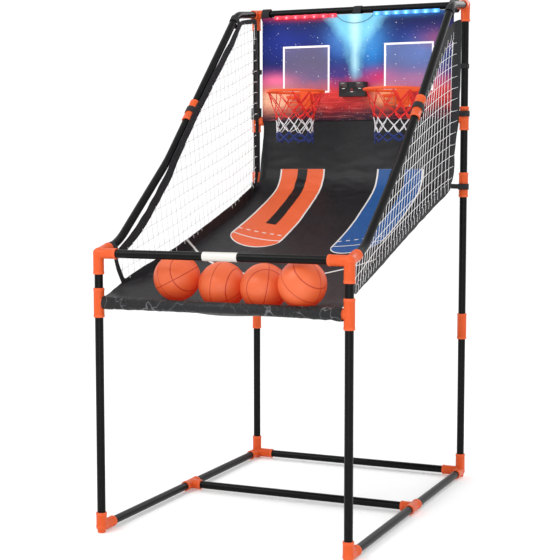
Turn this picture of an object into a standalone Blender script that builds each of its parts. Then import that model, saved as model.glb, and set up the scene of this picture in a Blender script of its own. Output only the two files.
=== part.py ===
"""Two-lane basketball shooting game for children.

A push-fit tube frame carries a printed backboard with two hoops, a fabric ramp
that rolls the balls back to a trough behind the handrail, and two side nets.
Metres, +Z up.  The player stands on the -Y side; the origin is on the floor
under the middle of the frame.
"""
import math

import bmesh
import bpy
from mathutils import Euler, Matrix, Vector

# ---------------------------------------------------------------- dimensions
HALF_W = 0.370          # post axis to the middle plane
Y_FRONT = -0.530        # front post axis
Y_REAR = 0.530          # rear post axis
Y_MID = 0.018           # cross tube of the base

Z_BASE = 0.018          # axis height of the base tubes
Z_COUPLER_A = 0.502     # lower coupler of the rear posts
Z_TROUGH = 0.650        # bar that holds the trough hem
Z_RAIL = 0.787          # handrail
Z_COUPLER_B = 0.966     # upper coupler of the rear posts
Z_BOARD_BAR = 1.181     # bar behind the bottom of the backboard
Z_TOP = 1.545           # top bar

TUBE_R = 0.0125
TUBE_WALL = 0.0008
SOCKET_R = 0.0151       # outside of a moulded socket
BALL_END_R = 0.0158     # rounded middle of a corner fitting
BORE_R = 0.0128 / math.cos(math.pi / 12)    # corners of a socket's 12-sided inside
STOP = 0.0185           # a socket's floor, from the fitting's centre
GAP = 0.0006            # end play between a tube and what it meets
ROUND = 12              # segments round a tube

ARM_KNEE = (-0.4244, 0.8095)    # y, z where the lower arm turns up
ARM_ELBOW = (-0.1230, 1.0430)   # y, z of the slight bend above it
ARM_SHOULDER = (0.3706, 1.5283)  # y, z where the upper arm turns level
ARM_RADII = (0.20, 0.50, 0.09)
ARM_SPLIT = 0.314               # where the coupler sits on the slanted run

BOARD_HALF_W = 0.338
BOARD_Z = (1.180, 1.530)
BOARD_Y = (0.508, 0.511)        # front and back faces

HOOP_X = 0.172
HOOP_Y = 0.402
HOOP_Z = 1.273
HOOP_R = 0.0955
HOOP_WIRE_R = 0.0045
FIT_GAP = 0.0004                # between a fitted piece and the board
PLATE_HALF_W = 0.026            # hoop's wall plate
PLATE_THICK = 0.004
PLATE_Z = (-0.0535, 0.012)      # its ends, from the middle of the ring
BRACKET_HALF_W = 0.021
BRACKET_Z = (-0.042, 0.0055)    # front face of the tapered bracket
BRACKET_Y = (0.5005, 0.4915)    # its front at those heights
PIN_R = 0.0020
PIN_X = (-0.010, -0.0700)       # from the middle of the ring
PIN_HEAD_R = 0.0036
PIN_HEAD_X = (-0.0680, -0.0705)
FLAP_HALF_W = 0.0195
FLAP_HALF_THICK = 0.0010
FLAP_Z = (-0.0330, -0.0010)     # from its hinge
FLAP_BARREL_R = 0.0042
FLAP_BORE_R = 0.0023
FLAP_WINDOW_HALF_W = 0.0150
FLAP_WINDOWS = ((-0.0165, -0.0075), (-0.0295, -0.0205))
HOOP_NET_CELLS = 9
HOOP_NET_CORD = 0.0024
# drop below the ring, radius
HOOP_NET_ROWS = ((0.0062, 0.0895), (0.036, 0.0790), (0.066, 0.0680), (0.098, 0.0625),
                 (0.130, 0.0610), (0.162, 0.0605))
STRIP_X = 0.178                 # middle of a light strip
STRIP_HALF_W = 0.113
STRIP_THICK = 0.0048
STRIP_Z = (1.5225, 1.5345)
STRIP_MID_Z = 1.5285
LAMPS = 7
LAMP_STEP = 0.0335
LAMP_R = 0.0042
LEAD_START = 0.108              # where the lead leaves the left strip
LEAD_R = 0.0012
PIVOT_Y = 0.4955        # scoring flap's hinge pin
PIVOT_DROP = 0.0135     # pin below the middle of the ring
FLAP_SHIFT = 0.0475     # middle of the flap, to the left of the bracket

RAMP_HALF_W = 0.355
RAMP_THICK = 0.001
# y, share of the half width, height of the ramp's sewn edge, sag of its middle below that
RAMP_ROWS = (
    (-0.460, 0.986, 0.690, 0.067), (-0.400, 0.958, 0.698, 0.058), (-0.330, 0.932, 0.708, 0.050),
    (-0.230, 0.910, 0.729, 0.044), (-0.130, 0.899, 0.755, 0.042), (-0.030, 0.896, 0.785, 0.044),
    (0.070, 0.896, 0.815, 0.044), (0.150, 0.896, 0.839, 0.043), (0.220, 0.899, 0.861, 0.040),
    (0.285, 0.904, 0.881, 0.033), (0.345, 0.913, 0.902, 0.024), (0.395, 0.924, 0.920, 0.016),
    (0.440, 0.945, 0.938, 0.008), (0.474, 0.958, 0.958, 0.002), (0.493, 0.967, 0.982, 0.001),
    (0.503, 0.972, 1.006, 0.000), (0.5095, 0.972, 1.045, 0.000), (0.5135, 0.960, 1.090, 0.000),
    (0.5155, 0.949, 1.140, 0.000),
)
HEM_ROWS = RAMP_ROWS[:14]       # rows that a side net hangs beside

NET_X = 0.3535          # nets lie against the insides of the arms and posts
NET_PITCH = 0.078       # drawn at about twice the real mesh
NET_CORD = 0.0032
NET_SLOPE = 0.279       # rise of the mesh rows toward the back
HEM_GAP = 0.0035        # net outside the ramp's edge
HEM_DROP = 0.004        # net's hem below the ramp's edge
# y, z and tape width round a side net: front tie, arm, top and rear edges
NET_SIDES = (
    (-0.436, 0.689, 0.012), (-0.480, 0.777, 0.013), (-0.423, 0.808, 0.026),
    (-0.350, 0.857, 0.028), (-0.285, 0.893, 0.028), (-0.220, 0.9525, 0.028),
    (-0.150, 1.020, 0.028), (-0.1225, 1.046, 0.028), (0.032, 1.195, 0.028),
    (0.2056, 1.3549, 0.028), (0.292, 1.4425, 0.026), (0.352, 1.502, 0.018),
    (0.372, 1.510, 0.014), (0.495, 1.529, 0.017), (0.498, 1.430, 0.024),
    (0.498, 1.250, 0.024), (0.494, 1.100, 0.024), (0.486, 1.000, 0.024),
    (0.474, 0.952, 0.026),
)
HEM_WIDTHS = (0.022, 0.034, 0.038, 0.038, 0.038, 0.038, 0.038, 0.038, 0.038, 0.038, 0.036, 0.031)

BALL_R = 0.0655
BALL_WALL = 0.002
VALVE_R = 0.0022
BALL_REST_GAP = 0.0012
BALL_SPOTS = ((-0.178, -0.430), (-0.0375, -0.432), (0.0935, -0.444), (0.2195, -0.480))

LEAD_SAG = 0.028        # loose lead between the two light strips
LEAD_END = 0.0630       # just short of the right strip

CASE_SIZE = (0.092, 0.028, 0.048)
CASE_CENTRE = (0.0, 0.4925, 1.281)
CASE_WALL = 0.002
BROW_X = 0.0285         # middle of a display's hood
BROW_HALF_W = 0.0145
BROW_PROUD = 0.0045
BROW_TALL = 0.020
CIRCUIT_HALF_W = 0.0437
CIRCUIT_Z = (-0.016, 0.019)
CIRCUIT_THICK = 0.0016
CIRCUIT_BACK = 0.007    # free depth behind the circuit
DIGIT_HALF_W = 0.012
DIGIT_Z = (0.002, 0.018)
PART_FRONT = 0.006      # components stand this far forward
CHIP_X = (-0.036, 0.010)
CHIP_Z = (-0.013, -0.002)
CHIP_THICK = 0.005
DOOR_GAP = 0.0004
DOOR_THICK = 0.0016
CATCH_X = (-0.030, -0.027)
GROOVE_HALF = (0.008, 0.002)
BUTTON_DROP = 0.002     # below the middle of the case
BUTTON_HOLE_R = 0.0048
BUTTON_R = 0.0044
FLANGE_R = 0.0062
STEM_R = 0.0020

COLOURS = {
    "tube": (0.018, 0.018, 0.020, 1.0),
    "fitting": (0.86, 0.20, 0.06, 1.0),
    "fabric": (0.030, 0.030, 0.033, 1.0),
    "net": (0.80, 0.80, 0.80, 1.0),
    "board": (0.16, 0.12, 0.36, 1.0),
    "hoop": (0.90, 0.22, 0.05, 1.0),
    "hoop_net": (0.75, 0.78, 0.85, 1.0),
    "ball": (0.85, 0.22, 0.07, 1.0),
    "case": (0.020, 0.018, 0.020, 1.0),
    "circuit": (0.03, 0.22, 0.09, 1.0),
    "button": (0.85, 0.85, 0.85, 1.0),
    "led_red": (0.85, 0.12, 0.12, 1.0),
    "led_blue": (0.35, 0.65, 0.95, 1.0),
}


PARTS = "basketball_hoop_machine"   # collection of the pieces
CUTTERS = "cutters"                 # collection of the hidden tools


# ------------------------------------------------------------------- helpers
def clear_scene():
    """Remove whatever the start-up file holds."""
    for item in list(bpy.data.objects):
        bpy.data.objects.remove(item, do_unlink=True)


def collection(name):
    """Return the named collection, made when it is missing."""
    found = bpy.data.collections.get(name)
    if found is None:
        found = bpy.data.collections.new(name)
        bpy.context.scene.collection.children.link(found)
    return found


def paint(item, kind):
    """Shade an object's round faces smooth and give it a material of its own."""
    item.data.shade_smooth()
    item.data.set_sharp_from_angle(angle=math.radians(40))
    material = bpy.data.materials.new(item.name)
    material.use_nodes = True
    shader = material.node_tree.nodes["Principled BSDF"]
    shader.inputs["Base Color"].default_value = COLOURS[kind]
    shader.inputs["Roughness"].default_value = 0.5
    material.diffuse_color = COLOURS[kind]
    item.data.materials.clear()
    item.data.materials.append(material)


def mesh_object(name, bm, group=PARTS):
    """Turn a bmesh into a linked object."""
    bmesh.ops.recalc_face_normals(bm, faces=bm.faces)
    mesh = bpy.data.meshes.new(name)
    bm.to_mesh(mesh)
    bm.free()
    item = bpy.data.objects.new(name, mesh)
    collection(group).objects.link(item)
    return item


def add_box(bm, low, high):
    """Add a closed box between two corners."""
    low, high = Vector(low), Vector(high)
    place = Matrix.Translation((low + high) / 2) @ Matrix.Diagonal((*(high - low), 1.0))
    bmesh.ops.create_cube(bm, size=1.0, matrix=place)


def add_rod(bm, start, end, radius, sides=ROUND):
    """Add a closed cylinder between two points."""
    start, end = Vector(start), Vector(end)
    turn = (end - start).to_track_quat("Z", "Y").to_matrix().to_4x4()
    place = Matrix.Translation((start + end) / 2) @ turn
    bmesh.ops.create_cone(bm, cap_ends=True, segments=sides, radius1=radius,
                          radius2=radius, depth=(end - start).length, matrix=place)


def add_prism(bm, outline, offset):
    """Add a closed prism: a flat outline carried along an offset."""
    first = [bm.verts.new(point) for point in outline]
    second = [bm.verts.new(Vector(point) + Vector(offset)) for point in outline]
    bm.faces.new(first)
    bm.faces.new(list(reversed(second)))
    for i in range(len(outline)):
        j = (i + 1) % len(outline)
        bm.faces.new((first[j], first[i], second[i], second[j]))


def combine(item, tool=None, operation="DIFFERENCE"):
    """Boolean one hidden tool into an object, joining its own overlaps too."""
    modifier = item.modifiers.new(operation.lower(), "BOOLEAN")
    modifier.operation = operation
    modifier.solver = "EXACT"
    modifier.use_self = True
    modifier.object = tool
    tool.hide_render = True
    tool.display_type = "WIRE"
    return modifier


def fillet(points, radii, step=math.radians(10)):
    """Round the inner corners of a polyline in a plane."""
    path = [Vector(points[0])]
    for before, corner, after, radius in zip(points, points[1:], points[2:], radii):
        corner = Vector(corner)
        into = (corner - Vector(before)).normalized()
        out = (Vector(after) - corner).normalized()
        angle = into.angle(out)
        reach = radius * math.tan(angle / 2)
        axis = into.cross(out).normalized()
        centre = corner - into * reach + axis.cross(into) * radius
        spoke = corner - into * reach - centre
        count = max(2, math.ceil(angle / step))
        for i in range(count + 1):
            path.append(centre + Matrix.Rotation(angle * i / count, 3, axis) @ spoke)
    path.append(Vector(points[-1]))
    return path


def pipe(name, path, kind="tube"):
    """Bend an open-ended tube along a path."""
    curve = bpy.data.curves.new(name, "CURVE")
    curve.dimensions = "3D"
    curve.bevel_depth = TUBE_R
    curve.bevel_resolution = ROUND // 4
    curve.use_fill_caps = False
    spline = curve.splines.new("POLY")
    spline.points.add(len(path) - 1)
    for point, place in zip(spline.points, path):
        point.co = (*place, 1.0)
    drawn = bpy.data.objects.new(name, curve)
    mesh = bpy.data.meshes.new_from_object(drawn)
    bpy.data.objects.remove(drawn)
    bpy.data.curves.remove(curve)
    bm = bmesh.new()
    bm.from_mesh(mesh)
    bpy.data.meshes.remove(mesh)
    bmesh.ops.remove_doubles(bm, verts=bm.verts, dist=1e-5)
    item = mesh_object(name, bm)
    wall = item.modifiers.new("wall", "SOLIDIFY")
    wall.thickness = TUBE_WALL
    wall.offset = -1.0
    paint(item, kind)
    return item


def fitting(name, centre, sockets, through=None, foot=False):
    """Mould a fitting: sockets leave the centre, a through bore passes a tube.

    sockets lists (direction, length, floor) with floor the depth left solid.
    """
    centre = Vector(centre)
    body = bmesh.new()
    bores = bmesh.new()
    if len(sockets) > 1 and through is None:
        turned = Matrix.Translation(centre) @ Euler((0.31, 0.23, 0.17)).to_matrix().to_4x4()
        bmesh.ops.create_uvsphere(body, u_segments=ROUND, v_segments=7, radius=BALL_END_R,
                                  matrix=turned)
    for direction, length, floor in sockets:
        direction = Vector(direction).normalized()
        mouth = centre + direction * length
        add_rod(body, centre - direction * 0.003, mouth, SOCKET_R)
        add_rod(bores, centre + direction * floor, mouth + direction * 0.01, BORE_R)
    if through is not None:
        direction, half = Vector(through[0]).normalized(), through[1]
        add_rod(body, centre - direction * half, centre + direction * half, SOCKET_R)
        reach = direction * (half + 0.01)
        add_rod(bores, centre - reach, centre + reach, BORE_R)
    if foot:
        add_rod(body, centre - Vector((0, 0, 0.004)), (centre.x, centre.y, 0.0), 0.0113, 10)
    item = mesh_object(name, body)
    tool = mesh_object(name + "_bores", bores, CUTTERS)
    combine(item, tool)
    paint(item, "fitting")
    return item


def lathe(name, profile, steps, kind):
    """Turn an x, z profile about the vertical axis."""
    bm = bmesh.new()
    verts = [bm.verts.new((x, 0.0, z)) for x, z in profile]
    for first, second in zip(verts, verts[1:]):
        bm.edges.new((first, second))
    mesh = bpy.data.meshes.new(name)
    bm.to_mesh(mesh)
    bm.free()
    item = bpy.data.objects.new(name, mesh)
    collection(PARTS).objects.link(item)
    screw = item.modifiers.new("turn", "SCREW")
    screw.steps = steps
    screw.render_steps = steps
    screw.use_merge_vertices = True
    screw.merge_threshold = 0.00005
    screw.use_normal_calculate = True
    paint(item, kind)
    return item


# --------------------------------------------------------------------- frame
def side_name(side):
    """Name the side from the player's view."""
    return "left" if side < 0 else "right"


def arm_points(side):
    """Corner points of a side arm, from the front corner to the top corner."""
    x = side * HALF_W
    plane = [(Y_FRONT, Z_RAIL), ARM_KNEE, ARM_ELBOW, ARM_SHOULDER, (Y_REAR, Z_TOP)]
    return [Vector((x, y, z)) for y, z in plane]


def arm_joint(side):
    """Middle of the arm's coupler and the direction of the tube there."""
    points = arm_points(side)
    run = points[3] - points[2]
    return points[2] + run * ARM_SPLIT, run.normalized()


def build_base(side):
    """Side rail, its tee and the corner fittings under one side."""
    x = side * HALF_W
    label = side_name(side)
    inward = (-side, 0, 0)
    fitting("foot_elbow_" + label, (x, Y_FRONT, Z_BASE),
            [((0, 0, 1), 0.040, STOP), ((0, 1, 0), 0.062, STOP)], foot=True)
    fitting("rear_base_corner_" + label, (x, Y_REAR, Z_BASE),
            [((0, 0, 1), 0.058, STOP), (inward, 0.060, STOP), ((0, -1, 0), 0.058, STOP)],
            foot=True)
    fitting("base_tee_" + label, (x, Y_MID, Z_BASE), [(inward, 0.037, 0.0165)],
            through=((0, 1, 0), 0.040))
    start = STOP + GAP
    pipe("base_side_rail_" + label,
         [(x, Y_FRONT + start, Z_BASE), (x, Y_REAR - start, Z_BASE)])


def build_posts(side):
    """Front leg, rear post tubes and the fittings on them."""
    x = side * HALF_W
    label = side_name(side)
    inward = (-side, 0, 0)
    start = STOP + GAP
    arm = arm_points(side)
    pipe("front_leg_" + label, [(x, Y_FRONT, Z_BASE + start), (x, Y_FRONT, Z_RAIL - start)])
    fitting("front_tee_" + label, (x, Y_FRONT, Z_TROUGH), [(inward, 0.030, 0.0165)],
            through=((0, 0, 1), 0.041))
    fitting("front_corner_" + label, (x, Y_FRONT, Z_RAIL),
            [((0, 0, -1), 0.058, STOP), (inward, 0.058, STOP), (arm[1] - arm[0], 0.058, STOP)])
    fitting("coupler_a_" + label, (x, Y_REAR, Z_COUPLER_A), [], through=((0, 0, 1), 0.042))
    fitting("coupler_b_" + label, (x, Y_REAR, Z_COUPLER_B), [], through=((0, 0, 1), 0.040))
    fitting("board_tee_" + label, (x, Y_REAR, Z_BOARD_BAR),
            [((0, 0, 1), 0.038, STOP), ((0, 0, -1), 0.038, STOP), (inward, 0.030, STOP)])
    fitting("top_corner_" + label, (x, Y_REAR, Z_TOP),
            [((0, 0, -1), 0.054, STOP), (inward, 0.050, STOP), (arm[3] - arm[4], 0.030, STOP)])
    pipe("rear_leg_" + label,
         [(x, Y_REAR, Z_BASE + start), (x, Y_REAR, Z_COUPLER_A - GAP / 2)])
    pipe("rear_mid_post_" + label,
         [(x, Y_REAR, Z_COUPLER_A + GAP / 2), (x, Y_REAR, Z_BOARD_BAR - start)])
    pipe("rear_top_post_" + label,
         [(x, Y_REAR, Z_BOARD_BAR + start), (x, Y_REAR, Z_TOP - start)])


def build_arm(side):
    """Two bent tubes and a coupler between the front and top corners."""
    label = side_name(side)
    points = arm_points(side)
    middle, along = arm_joint(side)
    start = STOP + GAP
    first = points[0] + (points[1] - points[0]).normalized() * start
    last = points[4] + (points[3] - points[4]).normalized() * start
    lower = fillet([first, points[1], points[2], middle - along * GAP / 2], ARM_RADII)
    upper = fillet([middle + along * GAP / 2, points[3], last], ARM_RADII[2:])
    pipe("arm_lower_" + label, lower)
    pipe("arm_upper_" + label, upper)
    fitting("arm_coupler_" + label, middle, [], through=(along, 0.043))


def build_crossbars():
    """Tubes that run from side to side."""
    reach = HALF_W - STOP - GAP
    tee_reach = HALF_W - 0.0165 - GAP
    rows = (
        ("base_mid_crossbar", tee_reach, Y_MID, Z_BASE),
        ("base_rear_crossbar", reach, Y_REAR, Z_BASE),
        ("handrail", reach, Y_FRONT, Z_RAIL),
        ("trough_bar", tee_reach, Y_FRONT, Z_TROUGH),
        ("board_bar", reach, Y_REAR, Z_BOARD_BAR),
        ("top_bar", reach, Y_REAR, Z_TOP),
    )
    for name, half, y, z in rows:
        pipe(name, [(-half, y, z), (half, y, z)])


# ---------------------------------------------------------------------- ramp
def arc(y, z, radius, first, last, count):
    """Points on a circle in the y, z plane; angles in degrees from +Y."""
    points = []
    for i in range(count + 1):
        angle = math.radians(first + (last - first) * i / count)
        points.append((y + radius * math.cos(angle), z + radius * math.sin(angle)))
    return points


def ramp_section(x):
    """Rows of (half width scale, y, z) for the ramp cut at one x."""
    across = (x / RAMP_HALF_W) ** 2
    loose = 0.0158 + 0.0018 * min(1.0, max(0.0, (abs(x) - 0.322) / 0.014))
    leave = 20 + 85 * across
    rows = [(0.996, y, z) for y, z in arc(Y_FRONT, Z_TROUGH, loose, 330, leave, 7)]
    rows.append((1.0, Y_FRONT + 0.036, 0.633 + 0.044 * across))
    for y, share, edge, sag in RAMP_ROWS:
        rows.append((share, y, edge - sag * (1.0 - across)))
    sleeve = arc(Y_REAR, Z_BOARD_BAR, 0.0144, 180, -100, 6)
    rows += [(RAMP_ROWS[-1][1], y, z) for y, z in sleeve]
    return rows


def build_ramp():
    """Fabric from the board bar down to the trough, sleeved over both bars."""
    marks = [0.0, 0.08, 0.16, 0.24, 0.322, 0.336, RAMP_HALF_W]
    xs = [-x for x in reversed(marks[1:])] + marks
    bm = bmesh.new()
    grid = []
    for x in xs:
        grid.append([bm.verts.new((x * wide, y, z)) for wide, y, z in ramp_section(x)])
    for first, second in zip(grid, grid[1:]):
        for i in range(len(first) - 1):
            bm.faces.new((first[i], first[i + 1], second[i + 1], second[i]))
    item = mesh_object("ramp_fabric", bm)
    cloth = item.modifiers.new("cloth", "SOLIDIFY")
    cloth.thickness = RAMP_THICK
    cloth.offset = 0.0
    paint(item, "fabric")


# ----------------------------------------------------------------- side nets
def net_outline():
    """Outer edge of a flat side net as (y, z, tape width), clockwise from the front."""
    hem = [(row[0], row[2] - HEM_DROP, width) for row, width in zip(HEM_ROWS[1:-1], HEM_WIDTHS)]
    return list(NET_SIDES) + list(reversed(hem))


def shrink(outline):
    """Inner edge of the tape round a clockwise (y, z, width) outline."""
    flat = [Vector(point[:2]) for point in outline]
    inner = []
    for i, here in enumerate(flat):
        into = (here - flat[i - 1]).normalized()
        out = (flat[(i + 1) % len(flat)] - here).normalized()
        bisector = (Vector((into.y, -into.x)) + Vector((out.y, -out.x))).normalized()
        inner.append(here + bisector * outline[i][2] / bisector.dot(Vector((out.y, -out.x))))
    return inner


def level(chain, place):
    """Value of a rising chain of (place, value) pairs, held at both ends."""
    if place <= chain[0][0]:
        return chain[0][1]
    for (before, low), (after, high) in zip(chain, chain[1:]):
        if place <= after:
            return low + (high - low) * (place - before) / (after - before)
    return chain[-1][1]


def net_x(y, z):
    """Distance of a net from the middle plane: the ramp draws its hem inwards."""
    hem = level([(row[0], row[1] * RAMP_HALF_W + HEM_GAP) for row in HEM_ROWS], y)
    low = level([(row[0], row[2] - HEM_DROP) for row in HEM_ROWS], y)
    high = level([point[:2] for point in NET_SIDES[1:14]], y)
    rise = max(0.0, min(1.0, (z - low) / (high - low)))
    return hem + (NET_X - hem) * rise


def build_side_net(side):
    """Taped panel cut through by a grid of mesh openings, its hem drawn inwards."""
    label = side_name(side)
    outline = net_outline()
    half = NET_CORD / 4
    x = side * NET_X
    panel = bmesh.new()
    add_prism(panel, [(x - half, y, z) for y, z, _ in outline], (2 * half, 0, 0))
    item = mesh_object("side_net_" + label, panel)

    cells = bmesh.new()
    opening = NET_PITCH - NET_CORD
    far = NET_SLOPE * opening
    reach = 0.01
    first_y, first_z = -0.47, 0.62
    for column in range(14):
        y = first_y + column * NET_PITCH
        for row in range(13):
            z = first_z + NET_SLOPE * (y - first_y) + row * NET_PITCH
            corners = [(x - reach, y, z), (x - reach, y + opening, z + far),
                       (x - reach, y + opening, z + far + opening), (x - reach, y, z + opening)]
            add_prism(cells, corners, (2 * reach, 0, 0))
    openings = mesh_object("net_cells_" + label, cells, CUTTERS)

    window = bmesh.new()
    reach = 0.012
    add_prism(window, [(x - reach, y, z) for y, z in shrink(outline)], (2 * reach, 0, 0))
    inside = mesh_object("net_window_" + label, window, CUTTERS)
    combine(openings, inside, "INTERSECT").use_self = False
    combine(item, openings).use_self = False

    shaped = bpy.data.meshes.new_from_object(
        item.evaluated_get(bpy.context.evaluated_depsgraph_get()))
    item.modifiers.clear()
    for tool in (openings, inside):
        bpy.data.objects.remove(tool)
    drawn = bmesh.new()
    drawn.from_mesh(shaped)
    bmesh.ops.triangulate(drawn, faces=drawn.faces)
    for vert in drawn.verts:
        vert.co.x += side * (net_x(vert.co.y, vert.co.z) - NET_X)
    drawn.to_mesh(item.data)
    drawn.free()
    bpy.data.meshes.remove(shaped)
    paint(item, "net")


# -------------------------------------------------------- backboard and hoops
def build_backboard():
    """Printed panel in front of the two rear bars."""
    bm = bmesh.new()
    add_box(bm, (-BOARD_HALF_W, BOARD_Y[0], BOARD_Z[0]), (BOARD_HALF_W, BOARD_Y[1], BOARD_Z[1]))
    item = mesh_object("backboard", bm)
    edge = item.modifiers.new("edge", "BEVEL")
    edge.width = 0.0008
    edge.segments = 1
    paint(item, "board")


def build_hoop(side):
    """Ring, wall plate, tapered bracket and the scoring flap's hinge pin."""
    x = side * HOOP_X
    bpy.ops.mesh.primitive_torus_add(major_radius=HOOP_R, minor_radius=HOOP_WIRE_R,
                                     major_segments=32, minor_segments=6)
    item = bpy.context.object
    item.name = "hoop_" + side_name(side)
    item.data.transform(Matrix.Translation((x, HOOP_Y, HOOP_Z)))
    for home in list(item.users_collection):
        home.objects.unlink(item)
    collection(PARTS).objects.link(item)

    back = bmesh.new()
    face = BOARD_Y[0] - FIT_GAP
    low, high = HOOP_Z + PLATE_Z[0], HOOP_Z + PLATE_Z[1]
    add_box(back, (x - PLATE_HALF_W, face - PLATE_THICK, low), (x + PLATE_HALF_W, face, high))
    left, inner = x - BRACKET_HALF_W, face - PLATE_THICK / 2
    low, high = HOOP_Z + BRACKET_Z[0], HOOP_Z + BRACKET_Z[1]
    wedge = [(left, BRACKET_Y[1], high), (left, inner, high),
             (left, inner, low - PLATE_THICK), (left, BRACKET_Y[0], low)]
    add_prism(back, wedge, (2 * BRACKET_HALF_W, 0, 0))
    pin_z = HOOP_Z - PIVOT_DROP
    add_rod(back, (x + PIN_X[0], PIVOT_Y, pin_z), (x + PIN_X[1], PIVOT_Y, pin_z), PIN_R, 10)
    add_rod(back, (x + PIN_HEAD_X[0], PIVOT_Y, pin_z), (x + PIN_HEAD_X[1], PIVOT_Y, pin_z),
            PIN_HEAD_R, 10)
    bracket = mesh_object("bracket_" + side_name(side), back, CUTTERS)
    combine(item, bracket, "UNION")
    paint(item, "hoop")


def build_flap(side):
    """Scoring flap: a windowed paddle hung on the bracket's pin."""
    x = side * HOOP_X
    pivot = Vector((x - FLAP_SHIFT, PIVOT_Y, HOOP_Z - PIVOT_DROP))
    bm = bmesh.new()
    add_rod(bm, (-FLAP_HALF_W, 0, 0), (FLAP_HALF_W, 0, 0), FLAP_BARREL_R, 12)
    add_box(bm, (-FLAP_HALF_W, -FLAP_HALF_THICK, FLAP_Z[0]), (FLAP_HALF_W, FLAP_HALF_THICK, FLAP_Z[1]))
    item = mesh_object("scoring_flap_" + side_name(side), bm)
    holes = bmesh.new()
    add_rod(holes, (-2 * FLAP_HALF_W, 0, 0), (2 * FLAP_HALF_W, 0, 0), FLAP_BORE_R, 12)
    for low, high in FLAP_WINDOWS:
        add_box(holes, (-FLAP_WINDOW_HALF_W, -0.01, low), (FLAP_WINDOW_HALF_W, 0.01, high))
    tool = mesh_object("flap_holes_" + side_name(side), holes, CUTTERS)
    tool.location = pivot
    item.location = pivot
    combine(item, tool)
    paint(item, "hoop")


def build_hoop_net(side):
    """Knotted net below a ring, as a cage of thin cords."""
    x = side * HOOP_X
    count = HOOP_NET_CELLS
    rows = HOOP_NET_ROWS
    bm = bmesh.new()
    grid = []
    for number, (drop, radius) in enumerate(rows):
        loop = []
        for i in range(count):
            turn = 2 * math.pi * (i + 0.5 * (number % 2)) / count
            loop.append(bm.verts.new((radius * math.cos(turn), radius * math.sin(turn), -drop)))
        grid.append(loop)
    for number in range(len(rows) - 2):
        shift = number % 2
        for i in range(count):
            top = grid[number][i]
            left = grid[number + 1][(i + shift - 1) % count]
            right = grid[number + 1][(i + shift) % count]
            low = grid[number + 2][i]
            bm.faces.new((top, left, low, right))
    item = mesh_object("hoop_net_" + side_name(side), bm)
    item.location = (x, HOOP_Y, HOOP_Z)
    cords = item.modifiers.new("cords", "WIREFRAME")
    cords.thickness = HOOP_NET_CORD
    cords.use_replace = True
    cords.use_even_offset = False
    cords.use_boundary = True
    paint(item, "hoop_net")


def build_led_strip(side):
    """Light strip under the top bar with a row of domes."""
    label = side_name(side)
    centre = side * STRIP_X
    bm = bmesh.new()
    face = BOARD_Y[0] - FIT_GAP
    add_box(bm, (centre - STRIP_HALF_W, face - STRIP_THICK, STRIP_Z[0]),
            (centre + STRIP_HALF_W, face, STRIP_Z[1]))
    item = mesh_object("led_strip_" + label, bm)
    domes = bmesh.new()
    for i in range(LAMPS):
        x = centre + (i - (LAMPS - 1) / 2) * LAMP_STEP
        place = Matrix.Translation((x, face - STRIP_THICK, STRIP_MID_Z))
        bmesh.ops.create_uvsphere(domes, u_segments=6, v_segments=4, radius=LAMP_R, matrix=place)
    if side < 0:
        lead_y = face - STRIP_THICK / 2
        previous = Vector((centre + LEAD_START, lead_y, STRIP_MID_Z))
        for i in range(1, 11):
            share = i / 10
            x = previous.x + (LEAD_END - previous.x) / (11 - i)
            place = Vector((x, lead_y, STRIP_MID_Z - LEAD_SAG * 4 * share * (1 - share)))
            past = place + (place - previous).normalized() * 0.0004
            add_rod(domes, previous, past, LEAD_R, 6)
            previous = place
    tool = mesh_object("led_domes_" + label, domes, CUTTERS)
    combine(item, tool, "UNION")
    paint(item, "led_red" if side < 0 else "led_blue")


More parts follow.
